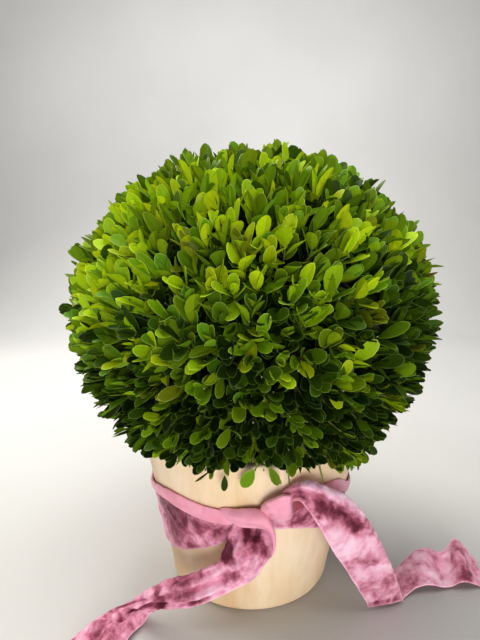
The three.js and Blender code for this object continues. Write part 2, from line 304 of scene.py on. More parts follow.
# ------------------------------------------------------------------ pot
def make_pot():
    prof = [(0.0, 0.0), (30.0, 0.0), (58.0, 0.0)]
    e = 6.5
    for i in range(12):
        a = (i / 11) * (math.pi / 2) * 0.87
        prof.append((pot_r(e) - e + e * math.sin(a), e - e * math.cos(a)))
    for z in np.linspace(11, POT_HEIGHT - 3, 40):
        prof.append((pot_r(z), z))
    for i in range(1, 7):
        a = (i / 6) * math.pi / 2
        prof.append((pot_r(POT_HEIGHT) - 2.4 + 2.4 * math.cos(a), POT_HEIGHT - 2.4 + 2.4 * math.sin(a)))
    inner = lambda z: pot_r(z) - POT_WALL
    for i in range(0, 6):
        a = (i / 5) * math.pi / 2
        prof.append((inner(POT_HEIGHT) + 2.0 - 2.0 * math.sin(a), POT_HEIGHT - 2.0 + 2.0 * math.cos(a)))
    for z in np.linspace(POT_HEIGHT - 8, POT_FLOOR + 4, 14):
        prof.append((inner(z), z))
    prof += [(inner(POT_FLOOR) - 1.2, POT_FLOOR + 1.2), (inner(POT_FLOOR) - 4, POT_FLOOR), (30, POT_FLOOR), (0, POT_FLOOR)]

    def wobble(body):
        # a hand-finished side: a few tenths of a millimetre out of true, faint tool rings
        x, y, z = body[..., 0], body[..., 1], body[..., 2]
        a = np.arctan2(x, -y)
        d = 0.35 * np.sin(2 * a + 0.6) + 0.22 * np.sin(3 * a + z * 0.03 + 1.1)
        d = d + 0.07 * np.sin(z * 1.15 + 0.8 * np.sin(a * 2)) + 0.06 * np.sin(z * 0.43 + 2 + a)
        r = np.hypot(x, y)
        k = 1 + d * np.clip(z / 12, 0, 1) / np.maximum(r, 1)
        out = body.copy()
        out[..., 0], out[..., 1] = x * k, y * k
        return out

    verts, tris = turned(prof, 224, wobble)
    o = make_object("pot_turned", verts, tris)
    m, nt, b = new_material("pot_wood")
    # pale sanded wood: soft clouds of tone, and short faint lines of grain up the side
    v = mapping(nt, (1.0, 1.0, 0.45))
    warp = noise_node(nt, v, 19, 4, 0.5, 0.5)
    broad = ramp_node(nt, warp.outputs["Fac"], [
        (0.30, srgb(236, 207, 166)), (0.46, srgb(245, 221, 185)), (0.62, srgb(250, 232, 203)), (0.80, srgb(253, 239, 216))])
    v2 = mapping(nt, (1.0, 1.0, 0.09))
    fine = noise_node(nt, v2, 170, 4, 0.55, 0.3)
    lines = ramp_node(nt, fine.outputs["Fac"], [
        (0.34, (0.90, 0.84, 0.75, 1)), (0.50, (1, 1, 1, 1)), (1.0, (1, 1, 1, 1))])
    col = mix_colour(nt, 0.42, broad.outputs["Color"], lines.outputs["Color"], "MULTIPLY")
    v3 = mapping(nt, (1, 1, 0.42))
    clouds = noise_node(nt, v3, 30, 3, 0.5, 0.4)
    tone = ramp_node(nt, clouds.outputs["Fac"], [(0.34, (0.88, 0.79, 0.67, 1)), (0.58, (1, 1, 1, 1))])
    col = mix_colour(nt, 0.75, col, tone.outputs["Color"], "MULTIPLY")
    nt.links.new(col, b.inputs["Base Color"])
    rr = ramp_node(nt, fine.outputs["Fac"], [(0.3, (0.60, 0.60, 0.60, 1)), (0.7, (0.48, 0.48, 0.48, 1))])
    nt.links.new(rr.outputs["Color"], b.inputs["Roughness"])
    b.inputs["Specular IOR Level"].default_value = 0.35
    bump_from(nt, b, fine.outputs["Fac"], 0.25, 0.0003)
    o.data.materials.append(m)
    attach(o, "root")
    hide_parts("pot")

    # dry filling, hidden under the ball
    def rough_top(body):
        out = body.copy()
        for idx in np.ndindex(body.shape[:2]):
            p = body[idx]
            n = noise_vector(Vector(p) * 0.11)
            w = 1.2 if p[2] > FILL_TOP - 2 else 0.3
            out[idx] = p + np.array((n.x * 0.3, n.y * 0.3, (n.z - 0.9) * w))
        return out
    ri = lambda z: pot_r(z) - POT_WALL - 0.8
    fprof = [(0, POT_FLOOR + 0.6), (40, POT_FLOOR + 0.6), (ri(POT_FLOOR) - 2, POT_FLOOR + 0.6)]
    fprof += [(ri(z) - 0.4, z) for z in np.linspace(POT_FLOOR + 3, FILL_TOP - 3, 12)]
    fprof += [(ri(FILL_TOP) * k, FILL_TOP) for k in (0.985, 0.9, 0.8, 0.7, 0.6, 0.5, 0.4, 0.3, 0.2, 0.1)]
    fprof.append((0, FILL_TOP - 0.5))
    verts, tris = turned(fprof, 72, rough_top)
    f = make_object("pot_filling_dry", verts, tris)
    m, nt, b = new_material("filling_fibre")
    v = mapping(nt)
    n = noise_node(nt, v, 260, 5, 0.65, 0.8)
    r = ramp_node(nt, n.outputs["Fac"], [(0.3, srgb(52, 38, 24)), (0.55, srgb(98, 76, 48)), (0.75, srgb(140, 114, 76))])
    nt.links.new(r.outputs["Color"], b.inputs["Base Color"])
    b.inputs["Roughness"].default_value = 0.95
    bump_from(nt, b, n.outputs["Fac"], 0.8, 0.0015)
    f.data.materials.append(m)
    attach(f, "root")
    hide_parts("pot_filling")


make_pot()


# ------------------------------------------------------------------ ribbon
def velvet_material(name, hollow_shade, dark, mid, light, bright):
    """Crushed velvet with painted light: patches of darker and lighter nap, painted shade in recesses
    and creases and painted highlights on lit folds and edges, from one value kept on the mesh per point."""
    m, nt, b = new_material(name)
    v = mapping(nt)
    lie = nt.nodes.new("ShaderNodeAttribute")
    lie.attribute_type = "GEOMETRY"
    lie.attribute_name = "pile_and_painted_light"
    small = noise_node(nt, v, 300, 3, 0.62, 0.9)
    some = nt.nodes.new("ShaderNodeMath")
    some.operation = "MULTIPLY_ADD"
    some.inputs[1].default_value = 0.34
    some.inputs[2].default_value = -0.17
    nt.links.new(small.outputs["Fac"], some.inputs[0])
    both = nt.nodes.new("ShaderNodeMath")
    both.operation = "ADD"
    nt.links.new(some.outputs[0], both.inputs[0])
    nt.links.new(lie.outputs["Fac"], both.inputs[1])
    # the darkest stop, for recesses and creases, is painted shade
    col = ramp_node(nt, both.outputs[0], [(0.12, hollow_shade), (0.32, dark), (0.50, mid), (0.68, light), (0.90, bright)])
    fine = noise_node(nt, v, 1100, 2, 0.6)
    speck = ramp_node(nt, fine.outputs["Fac"], [(0.3, (0.88, 0.84, 0.86, 1)), (0.7, (1, 1, 1, 1))])
    c = mix_colour(nt, 0.85, col.outputs["Color"], speck.outputs["Color"], "MULTIPLY")
    nt.links.new(c, b.inputs["Base Color"])
    b.inputs["Roughness"].default_value = 0.58
    b.inputs["Specular IOR Level"].default_value = 0.16
    b.inputs["Sheen Weight"].default_value = 0.45
    b.inputs["Sheen Roughness"].default_value = 0.34
    b.inputs["Sheen Tint"].default_value = (1.0, 0.70, 0.82, 1)
    bump_from(nt, b, small.outputs["Fac"], 0.4, 0.0008)
    return m


def satin_material(name, base, deep, shade):
    """Satin with painted shade: darker where the value kept on the mesh marks a facet in shade."""
    m, nt, b = new_material(name)
    v = mapping(nt)
    n = noise_node(nt, v, 70, 3, 0.5, 0.6)
    r = ramp_node(nt, n.outputs["Fac"], [(0.32, deep), (0.62, base)])
    lie = nt.nodes.new("ShaderNodeAttribute")
    lie.attribute_type = "GEOMETRY"
    lie.attribute_name = "pile_and_painted_light"
    # painted shade: the satin darkened where the value on the mesh is low
    painted_shade = ramp_node(nt, lie.outputs["Fac"], [(0.08, shade), (0.56, (1, 1, 1, 1))])
    c = mix_colour(nt, 1.0, r.outputs["Color"], painted_shade.outputs["Color"], "MULTIPLY")
    nt.links.new(c, b.inputs["Base Color"])
    weave = noise_node(nt, v, 1500, 1, 0.5)
    b.inputs["Roughness"].default_value = 0.42
    b.inputs["Specular IOR Level"].default_value = 0.35
    b.inputs["Sheen Weight"].default_value = 0.15
    bump_from(nt, b, weave.outputs["Fac"], 0.12, 0.0002)
    return m


# the first velvet colour is painted shade for recesses and creases
VELVET = velvet_material("ribbon_velvet", srgb(92, 30, 48), srgb(148, 72, 94), srgb(210, 132, 158), srgb(242, 178, 205), srgb(255, 212, 233))
# the last satin colour is the painted shade
SATIN = satin_material("ribbon_satin", srgb(247, 170, 196), srgb(234, 146, 168), (0.40, 0.17, 0.20, 1))
ribbon_points = []  # kept for the leaves to stay clear of


def crush(p, n, size, amount):
    """Small dents and ridges of crushed cloth at p, as a distance along the normal; n is not used."""
    q = Vector(p) * (1.0 / size)
    return amount * (fractal(q, 0.9, 2.1, 3) + 0.55 * (1 - 2 * abs(noise_vector(q * 0.9 + Vector((7.3, 1.9, 4.4))).x)))


def lie_of_pile(points, dents, spots, calm):
    """A value at each point, from 0, darkest, to 1, lightest: soft patches of the crushed nap some 3 to
    15 mm across, and the broad zones that spots names, which are painted shade and painted highlights."""
    flat = points.reshape(-1, 3)
    big, small = np.empty(len(flat)), np.empty(len(flat))
    for i, q in enumerate(flat):
        v = Vector(q)
        w = noise_vector(v / 13.0 + Vector((3.1, 8.7, 1.2)))
        big[i] = fractal(v / 12.0 + w * 0.55, 1.0, 2.0, 2)
        small[i] = fractal(v / 4.4 + w * 1.2, 0.8, 2.1, 2)
    big, small, dents = [(a - a.mean()) / max(a.std(), 1e-9) for a in (big, small, dents.ravel())]
    # patches of the crushed nap, with the ridges of the crush a little lighter: a painted highlight
    k = 0.57 + calm * (0.05 * big + 0.045 * small + 0.035 * dents)
    for x, y, z, size, amount in spots:
        k += amount * np.exp(-((flat - (x, y, z)) ** 2).sum(1) / size**2)
    # painted highlight: the edges of the ribbon lighter
    steps = np.linalg.norm(np.diff(points, axis=1), axis=-1)
    across = np.concatenate([np.zeros((len(points), 1)), np.cumsum(steps, 1)], 1)
    edge = np.minimum(across, across[:, -1:] - across)
    k += 0.26 * np.exp(-((edge / 1.1) ** 2)).ravel()
    return np.clip(k, 0, 1)


def lie(points, dents, spots, calm, hem):
    """The crushed nap's value with its painted shade and highlights, the rows past the share hem of the width left
    plain.
    """
    k = lie_of_pile(points, dents, spots, calm).reshape(points.shape[:2])
    if hem is not None:
        k[:, int(hem * points.shape[1]):] = 0.62
    return k.astype(np.float32).ravel()


def loft(name, rows, nu, nv, closed=False, dent=0.8, dent_size=9.0, keep_off_pot=1.4,
         keep_off_ground=0.9, thickness=0.5, flip=False, dent_map=None, spots=(), calm=1.0, hem=None):
    """A ribbon through rows of points: along the ribbon first, across it second. The
    velvet side is the one its faces look to, and the satin side the other."""
    rows = np.asarray(rows, float)
    p = smooth_table(rows, nu, closed)
    p = np.swapaxes(smooth_table(np.swapaxes(p, 0, 1), nv), 0, 1)
    du = np.gradient(p, axis=0)
    if closed:
        du = (np.roll(p, -1, 0) - np.roll(p, 1, 0)) / 2
    dv = np.gradient(p, axis=1)
    n = np.cross(du, dv)
    n /= np.maximum(np.linalg.norm(n, axis=-1, keepdims=True), 1e-9)
    out = p.copy()
    dents = np.zeros(p.shape[:2])
    for i in range(p.shape[0]):
        for j in range(p.shape[1]):
            k = 1.0 if dent_map is None else dent_map(i / (p.shape[0] - 1), j / (p.shape[1] - 1))
            dents[i, j] = crush(p[i, j], n[i, j], dent_size, dent * k)
            q = p[i, j] + n[i, j] * dents[i, j]
            r = math.hypot(q[0], q[1])
            wall = pot_r(max(q[2], 0)) + keep_off_pot
            if q[2] < POT_HEIGHT + 1 and r < wall:
                q[0] *= wall / r
                q[1] *= wall / r
            q[2] = max(q[2], keep_off_ground)
            out[i, j] = q
    a1, a2 = out[1:, :-1] - out[:-1, :-1], out[:-1, 1:] - out[:-1, :-1]
    print(name, "area mm2 %.0f" % np.linalg.norm(np.cross(a1, a2), axis=-1).sum(),
          "length %.0f" % np.linalg.norm(np.diff(out, axis=0), axis=-1).sum(0).mean(),
          "width %.1f" % np.linalg.norm(np.diff(out, axis=1), axis=-1).sum(1).mean())
    faces = grid_faces(out.shape[0], out.shape[1], close_rows=closed)
    if flip:
        faces = faces[:, ::-1]
    o = make_object(name, out.reshape(-1, 3), faces, materials=(VELVET, SATIN))
    # the value the colours read: patches of the crushed nap, painted shade and painted highlights
    pile_and_painted_light = o.data.attributes.new("pile_and_painted_light", "FLOAT", "POINT")
    pile_and_painted_light.data.foreach_set("value", lie(out, dents, spots, calm, hem))
    ribbon_points.extend(out.reshape(-1, 3))
    s = o.modifiers.new("cloth", "SOLIDIFY")
    s.thickness = thickness * MM
    s.offset = -1.0
    s.use_rim = True
    s.material_offset = 1
    s.material_offset_rim = 1
    return o


# the band: azimuth, lower edge, upper edge, how far down the folded-out hem reaches
BAND = [
    (-180, 37, 90, 83), (-150, 37, 89, 82), (-120, 36, 87, 80), (-95, 35.5, 85.5, 79), (-80, 35.5, 86, 80.5),
    (-70, 36.3, 89.5, 84.5), (-62, 37.5, 92.5, 87), (-55, 40, 95.2, 88.2), (-48, 43.5, 97.2, 88.8), (-40, 48.2, 97.4, 87.6),
    (-32, 53.4, 96.4, 86.0), (-25, 58.2, 95.2, 84.8), (-18, 63.8, 94.6, 84.4), (-10, 71.5, 95.2, 84.8), (0, 78, 96.4, 86.4),
    (8, 80, 99, 89), (16, 78.8, 103, 92), (26, 75.6, 107, 97), (37, 69.8, 108, 98), (47, 65, 106, 96),
    (55, 59.5, 100, 91), (61, 54, 95, 87), (68, 48, 91.5, 83.5), (78, 42, 89, 81), (95, 38.5, 87.5, 79.5),
    (120, 37.5, 88, 80.5), (150, 37, 89.5, 82),
]
# darker and lighter zones on the band: painted shade to the left and under the knot, and patches of the crushed nap; x,
# y, z, size, amount
BAND_SPOTS = [
    (-71.7, -47.6, 82.2, 11, -0.28), (-57.8, -66.2, 84.0, 10, -0.30), (-41.7, -75.5, 77.8, 6, -0.34),
    (-50.5, -69.5, 74.6, 4.0, 0.12), (-32.6, -78.4, 66.8, 6, 0.20), (-60.0, -60.0, 66.0, 22, -0.31),
    (-44.0, -68.0, 62.0, 6, 0.16), (-54.0, -58.5, 54.0, 5, 0.14), (-38.0, -72.5, 70.0, 4, -0.16), (-66.0, -52.0, 52.0, 9, -0.14),
    (-27.5, -79.5, 76.0, 5, -0.18), (36.0, -80.0, 84.0, 9, -0.24), (-22.0, -82.0, 80.0, 6, -0.20),
]


def band_rows():
    rows = []
    for az, low, top, fold in BAND:
        near = math.exp(-((az - 4) / 24.0) ** 2)  # gathered into the knot
        row = []
        for k in range(7):
            t = k / 6
            z = low + (top - low) * t
            pleat = (1.0 + 2.4 * near) * (0.5 + 0.5 * math.cos(2 * math.pi * (t * 2.0 + 0.13 * az / 10)))
            row.append(off_pot(az, z, 1.1 + 0.45 * pleat))
        row.append(off_pot(az, top + 0.6, 2.0 + 0.6 * near))
        for k in range(1, 4):
            t = k / 3
            row.append(off_pot(az, top + 0.3 - (top - fold) * t, 3.0 + 1.2 * near))
        rows.append(row)
    return rows


def hem_calm(u, v):
    return 1.0 if v < 0.62 else 0.25


band = loft("ribbon_band_velvet", band_rows(), 420, 46, closed=True, dent=0.8, dent_size=8.0, dent_map=hem_calm, keep_off_pot=0.9, spots=BAND_SPOTS, hem=0.66)
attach(band, "root")
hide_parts("ribbon_band")

# the knot: a satin turn over the front, and the loop end that goes up under the arch
WRAP = [  # lower edge, then upper edge: azimuth, height and how far off the pot; bulge
    (-8.5, 86.8, 4.6, -15.0, 96.2, 4.2, 0.2), (-7.2, 86.6, 5.6, -13.4, 96.6, 5.2, 0.5),
    (-5.0, 87.0, 7.4, -9.5, 97.8, 7.0, 1.0), (-2.4, 87.6, 9.0, -5.0, 99.2, 8.8, 1.4),
    (0.2, 88.2, 10.2, -1.0, 100.5, 10.2, 1.8), (2.8, 88.5, 11.2, 2.4, 100.9, 11.6, 1.8),
    (5.0, 88.0, 12.5, 5.1, 98.9, 13.0, 1.5), (6.5, 86.6, 14.0, 6.9, 94.6, 14.2, 1.0),
    (7.4, 83.8, 15.5, 8.0, 89.8, 15.6, 0.6), (7.9, 80.2, 17.5, 8.6, 84.6, 17.2, 0.4),
    (8.0, 76.6, 18.8, 8.7, 79.4, 18.5, 0.3), (7.6, 73.4, 19.6, 8.1, 74.6, 19.3, 0.1),
]


def wrap_rows():
    rows = []
    for i, (az0, z0, off0, az1, z1, off1, bulge) in enumerate(WRAP):
        row = []
        for k in range(8):
            t = k / 7
            b = bulge * math.sin(math.pi * t) + 0.22 * bulge * math.sin(3 * math.pi * t + i * 0.8)
            roll = min(1.0, (z1 - z0) / 9.0)
            b -= 2.6 * roll * max(0.0, (t - 0.62) / 0.38) ** 2
            row.append(off_pot(az0 + (az1 - az0) * t, z0 + (z1 - z0) * t, off0 + (off1 - off0) * t + b))
        # rolled over at the top, back towards the pot
        row.append(off_pot(az1, z1 + 0.3 * roll, off1 - 4.0 * roll - 0.2))
        row.append(off_pot(az1, z1 - 0.9 * roll, off1 - 5.0 * roll - 0.3))
        rows.append(row)
    return rows


# painted shade on the tuck, in the shadow under the arch of the right tail and beside the knot; x, y, z, size, amount
KNOT_SPOTS = [
    (19.0, -90.5, 106.5, 5.0, -0.30), (27.0, -88.0, 106.0, 6.0, -0.50), (34.0, -84.0, 103.0, 7.0, -0.55),
    (36.4, -85.2, 98.4, 7.0, -0.50), (32.6, -87.5, 96.6, 6.0, -0.45), (26.5, -92.0, 103.5, 4.5, -0.30),
    (12.0, -99.0, 99.5, 2.2, -0.20), (9.5, -99.0, 106.0, 2.2, -0.20), (19.6, -103.3, 99.0, 3.0, -0.18),
]
# painted shade along the top of the wrap, where it rolls back towards the pot; x, y, z, size, amount
WRAP_SPOTS = [
    (-3.0, -96.0, 101.6, 4.0, -0.16), (3.5, -98.5, 101.4, 4.0, -0.18), (-9.5, -94.8, 99.6, 4.0, -0.16),
    (-15.0, -91.0, 98.0, 4.0, -0.14), (-18.5, -88.0, 92.0, 2.8, -0.14), (8.5, -100.5, 99.6, 3.0, -0.16),
]
wrap = loft("ribbon_wrap_satin", wrap_rows(), 110, 44, dent=0.26, dent_size=8.0, flip=True, calm=0.2, spots=WRAP_SPOTS)
TUCK = [  # the puffed loop right of the knot: lower edge, upper edge, and how far it puffs
    (3.2, 101.5, 8.0, 3.6, 103.0, 8.0, 0.2), (5.4, 98.0, 10.0, 5.5, 107.9, 10.5, 1.0),
    (8.2, 96.9, 11.8, 8.3, 112.1, 13.0, 1.6), (11.4, 96.2, 12.8, 11.0, 114.8, 14.2, 1.6),
    (14.8, 95.2, 12.6, 13.6, 114.6, 14.4, 1.0), (16.8, 95.4, 9.2, 15.2, 113.0, 11.2, 0.0),
    (20.0, 96.2, 5.8, 18.4, 110.4, 7.4, -0.4), (24.5, 97.8, 4.2, 23.2, 105.6, 4.8, 0.0),
]


def tuck_rows():
    rows = []
    for az0, z0, off0, az1, z1, off1, puff in TUCK:
        row = [off_pot(az0, z0 + 0.6, off0 - 2.2)]
        for k in range(7):
            t = k / 6
            b = puff * math.sin(math.pi * t)
            row.append(off_pot(az0 + (az1 - az0) * t, z0 + (z1 - z0) * t, off0 + (off1 - off0) * t + b))
        row.append(off_pot(az1, z1 - 0.2, off1 - 2.4))
        rows.append(row)
    return rows


tuck = loft("ribbon_tuck_satin", tuck_rows(), 60, 40, dent=0.28, dent_size=7.0, flip=True, calm=0.35, spots=KNOT_SPOTS)
for o, size in ((wrap, (0.0125, 0.068)), (tuck, (0.022, 0.034))):
    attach(o, "root")
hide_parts("ribbon_knot")

# the left tail: its upper edge, then across to its lower edge
LEFT = [
    ((-11.0, -88.5, 91.0), (12.5, -90.5, 91.5), (-1.0, -3.0, -1.0)),
    ((-15.3, -91.0, 84.3), (15.5, -94.8, 84.0), (-1.0, -6.5, -3.5)),
    ((-17.4, -94.2, 77.2), (16.4, -97.6, 77.5), (2.2, 0.2, -1.2)),
    ((-20.5, -96.4, 69.5), (15.1, -99.4, 71.6), (2.6, 1.0, -0.8)),
    ((-22.2, -98.0, 65.3), (9.2, -100.6, 64.5), (2.4, 1.8, 1.2)),
    ((-29.3, -98.0, 59.6), (1.2, -101.2, 53.5), (1.6, -0.8, 2.0)),
    ((-40.8, -96.2, 53.3), (-8.9, -100.8, 47.1), (2.2, -1.0, 2.2)),
    ((-56.0, -92.2, 46.0), (-26.6, -99.0, 36.1), (1.6, -1.6, 2.4)),
    ((-69.9, -86.5, 36.7), (-43.3, -96.0, 27.4), (2.6, -1.2, 1.8)),
    ((-80.1, -81.0, 26.6), (-58.1, -91.0, 22.0), (2.2, -2.0, 1.8)),
    ((-87.3, -76.5, 18.5), (-69.7, -86.0, 16.9), (3.0, -1.6, 2.4)),
    ((-98.8, -68.6, 7.0), (-75.7, -84.0, 12.2), (3.4, -0.6, 2.6)),
    ((-108.9, -70.5, 3.4), (-79.6, -80.4, 4.6), (3.6, 1.8, 3.6)),
    ((-116.4, -78.1, 2.6), (-83.2, -85.2, 2.8), (5.0, 2.8, 5.0)),
    ((-125.1, -88.3, 2.4), (-88.3, -92.7, 2.6), (6.2, 2.8, 5.6)),
    ((-133.0, -101.5, 2.2), (-90.6, -99.1, 2.4), (4.6, 2.6, 4.8)),
    ((-141.0, -115.0, 2.2), (-96.0, -112.0, 2.2), (3.4, 4.6, 2.8)),
    ((-146.5, -128.5, 2.0), (-101.0, -128.0, 2.0), (2.0, 4.6, 1.2)),
]
# painted shade in the recess under the knot and along the tail's curled-under inner edge, painted highlights on its lit
# panels, and patches of the crushed nap; x, y, z, size, amount
LEFT_SPOTS = [
    (-4.0, -92.8, 82.6, 4.5, -0.46), (0.5, -93.6, 82.4, 4.5, -0.50), (3.0, -95.0, 79.8, 3.6, -0.36), (-10.5, -93.3, 82.0, 4, 0.10),
    (-18.5, -95.0, 74.5, 4.4, -0.62), (-18.6, -97.3, 67.9, 4.4, -0.62), (-6.0, -95.2, 78.4, 2.6, -0.30),
    (3.0, -97.0, 74.5, 4.2, -0.28), (8.5, -99.0, 71.5, 4.2, -0.34), (-6.9, -97.3, 71.0, 6, -0.16),
    (-1.8, -100.0, 61.9, 7, 0.06), (-17.4, -99.3, 53.6, 4, -0.28), (-10.7, -100.0, 55.2, 3.4, -0.28),
    (-8.7, -100.6, 49.2, 5, 0.18), (-21.5, -99.2, 43.3, 6, 0.20), (-34.1, -96.9, 43.1, 9, 0.28), (-36.0, -97.0, 42.0, 17, -0.12), (-29.0, -98.6, 38.0, 6, 0.16), (-24.0, -98.9, 49.0, 8, 0.14),
    (-43.2, -95.4, 31.0, 3.2, -0.34), (-38.0, -96.5, 34.2, 3.2, -0.34), (-32.6, -97.6, 37.4, 3.0, -0.32),
    (-58.0, -90.8, 39.7, 6.5, -0.20), (-47.0, -94.3, 45.6, 6.5, -0.18), (-37.0, -96.7, 53.0, 4, -0.25),
    (-67.9, -86.8, 32.1, 5, -0.32), (-67.8, -86.5, 22.8, 5, -0.30), (-63.1, -88.8, 20.7, 4.5, -0.34),
    (-79.8, -80.6, 13.9, 6, 0.14), (-88.2, -80.6, 3.6, 6, 0.12), (-96.0, -88.0, 2.6, 5, -0.20), (-104.7, -84.1, 2.6, 6, 0.10),
    (-111.6, -96.5, 2.5, 6, -0.20), (-119.0, -102.0, 2.5, 6, 0.08), (-103.0, -104.0, 2.5, 6, -0.18), (-101.0, -90.0, 2.5, 15, -0.12), (-98.5, -70.0, 6.8, 3.6, -0.36), (-104.5, -71.0, 4.6, 3.4, -0.34),
    (-110.8, -72.4, 3.2, 3.4, -0.34), (-115.5, -77.0, 3.0, 3.4, -0.34), (-119.9, -82.2, 2.5, 3.4, -0.34),
]


def cross_rows(table, tuck_under=0.0, pleat=2.4):
    rows = []
    count = len(table)
    for i, (a, b, lift) in enumerate(table):
        a, b = np.array(a), np.array(b)
        prev = np.array(table[max(i - 1, 0)][0]) + np.array(table[max(i - 1, 0)][1])
        nxt = np.array(table[min(i + 1, count - 1)][0]) + np.array(table[min(i + 1, count - 1)][1])
        along = (nxt - prev) / np.linalg.norm(nxt - prev)
        side = (b - a) / np.linalg.norm(b - a)
        n = np.cross(along, side)
        n /= np.linalg.norm(n)
        if n[1] > 0.2 or n[2] < -0.3:
            n = -n
        row = []
        if tuck_under:
            w = tuck_under * (1 - 0.85 * i / (count - 1)) * min(1.0, max(0.15, (i - 0.5) / 3))
            row.append(a + side * w - n * 4.4)
            row.append(a + side * (w * 0.45) - n * 3.9)
            row.append(a - n * 1.9 - side * 0.5)
        row.append(a)
        steps = 13
        for k in range(1, steps):
            t = k / steps
            up = np.interp(t, (0, 0.25, 0.5, 0.75, 1), (0, *lift, 0))
            edge = min(1.0, t / 0.12, (1 - t) / 0.12)
            high = pleat + 0.075 * max(0.0, 42.0 - float(np.linalg.norm(b - a)))  # pulled narrow, it folds deeper
            fold = math.sin(2 * math.pi * (2.6 * t + 0.55 * math.sin(0.7 * i))) * high * edge * (0.75 + 0.35 * math.sin(1.9 * i + 1))
            row.append(a + (b - a) * t + n * (up + fold))
        row.append(b)
        rows.append(row)
    return rows


left = loft("ribbon_tail_left", cross_rows(LEFT, 17.0), 200, 72, dent=0.9, dent_size=7.5, spots=LEFT_SPOTS)
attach(left, "root")
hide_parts("tail_left_drop", "tail_left_run", "tail_left_end")

# the right tail: near edge, fold along its middle, back of the far half, hidden edge
RIGHT = [
    ((24.5, -95.0, 106.5), (20.0, -94.0, 112.0), (22.5, -91.5, 113.5), (26.5, -91.0, 105.0), (0.5, 0.0, -0.5)),
    ((30.6, -100.6, 111.6), (30.5, -100.4, 117.6), (31.5, -95.0, 121.4), (33.0, -92.0, 108.0), (1.2, -1.0, -2.0)),
    ((34.6, -103.6, 109.6), (38.6, -103.6, 118.4), (39.3, -96.4, 123.4), (38.0, -91.0, 106.5), (1.5, -2.0, -3.6)),
    ((39.4, -104.0, 103.2), (48.0, -103.2, 113.4), (50.0, -95.8, 119.0), (44.0, -89.5, 101.0), (1.8, -2.4, -4.4)),
    ((45.2, -101.0, 93.0), (59.2, -99.2, 104.9), (61.4, -92.6, 112.8), (51.0, -86.5, 94.0), (2.2, -2.2, -4.2)),
    ((52.2, -96.2, 78.6), (72.2, -93.4, 93.2), (73.2, -88.2, 101.4), (57.0, -84.0, 84.0), (2.0, -1.4, -3.0)),
    ((58.6, -91.6, 66.0), (83.0, -87.4, 80.4), (84.0, -84.0, 86.0), (62.0, -82.0, 70.0), (1.4, 0.6, -1.2)),
    ((67.0, -86.2, 52.0), (94.4, -80.8, 63.4), (95.2, -78.0, 65.0), (70.5, -79.5, 54.5), (1.6, 0.8, 0.6)),
    ((74.6, -81.2, 38.0), (103.8, -75.2, 46.0), (104.0, -72.8, 46.4), (78.0, -76.0, 39.5), (1.2, -0.6, -0.8)),
    ((82.8, -75.4, 22.6), (112.8, -68.4, 26.4), (112.8, -66.0, 26.4), (86.0, -70.5, 23.5), (1.0, 0.6, 0.3)),
    ((89.4, -70.2, 10.2), (119.0, -63.2, 9.8), (118.8, -61.0, 9.8), (92.5, -65.5, 10.0), (0.6, 0.3, 0.0)),
    ((91.6, -67.8, 4.4), (121.2, -60.8, 4.2), (120.6, -58.6, 4.6), (94.5, -63.0, 5.0), (0.3, 0.2, 0.0)),
]


CREASE = (1.5, 3.0, 4.0, 4.6, 4.6, 3.6, 1.6, 0.3, 0.0, 0.0, 0.0, 0.0)  # how deep it lies at each row
# painted shade in the crease down the arch, painted highlights on the lobe above it and on the fall, and a darker line
# near the end; x, y, z, size, amount
RIGHT_SPOTS = [
    (33.8, -101.9, 115.5, 5, -0.30), (45.2, -103.3, 112.6, 5, -0.42), (56.3, -100.1, 103.4, 5.5, -0.46),
    (68.0, -95.0, 92.8, 6, -0.46), (77.0, -89.8, 84.2, 6, -0.38), (50.0, -101.5, 108.2, 4.5, -0.36),
    (62.0, -97.0, 98.4, 5, -0.40), (73.0, -92.0, 88.6, 4.5, -0.36), (44.5, -103.4, 106.2, 6, -0.15),
    (55.4, -99.2, 96.2, 5, -0.18), (65.0, -94.9, 88.6, 4.5, -0.14), (73.0, -90.4, 81.8, 4.0, -0.14),
    (36.0, -99.0, 120.5, 6, 0.30), (50.0, -97.0, 118.6, 6, 0.40), (61.0, -93.5, 112.0, 6, 0.42), (70.0, -90.0, 105.2, 6, 0.40), (79.1, -87.9, 94.5, 4.5, 0.30),
    (57.8, -95.6, 81.5, 8, 0.30), (69.9, -89.2, 70.0, 10, 0.32), (62.0, -90.0, 68.0, 7, 0.12),
    (84.6, -84.4, 67.7, 8, 0.24), (82.6, -79.5, 40.2, 9, 0.16), (96.6, -76.2, 42.0, 7, 0.22),
    (77.0, -84.0, 55.2, 3.6, -0.20), (84.2, -81.9, 54.3, 4, -0.22), (92.9, -78.9, 50.6, 3.4, -0.18),
    (105.6, -70.3, 26.5, 4.5, -0.16), (82.3, -76.1, 25.0, 4, -0.10), (96.6, -68.0, 8.7, 2.6, -0.30),
    (102.0, -66.7, 8.4, 2.6, -0.30), (108.0, -65.3, 8.1, 2.6, -0.30), (113.8, -63.8, 7.9, 2.6, -0.30),
]


def folded_rows(table):
    rows = []
    nn = np.array((-0.25, -0.9, 0.35))
    for (near, ridge, back, hidden, bulge), deep in zip(table, CREASE):
        near, ridge, back, hidden = map(np.array, (near, ridge, back, hidden))
        row = [near + nn * 0.7, near + (ridge - near) * 0.05 + nn * 0.2]
        for t, up in zip((0.28, 0.58, 0.84), bulge):
            row.append(near + (ridge - near) * t + nn * up)
        row.append(ridge - nn * deep)
        row.append(ridge + (back - ridge) * 0.34 + nn * 0.62 * deep + np.array((0, 0, 0.5)))
        row.append(ridge + (back - ridge) * 0.72 + nn * 0.50 * deep + np.array((0, 0, 0.9)))
        row.append(back)
        row.append(back + (hidden - back) * 0.33)
        row.append(back + (hidden - back) * 0.66)
        row.append(hidden)
        rows.append(row)
    return rows


right = loft("ribbon_tail_right", folded_rows(RIGHT), 180, 76, dent=0.75, dent_size=8.5, spots=RIGHT_SPOTS)
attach(right, "root")
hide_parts("tail_right_arch", "tail_right_fall")

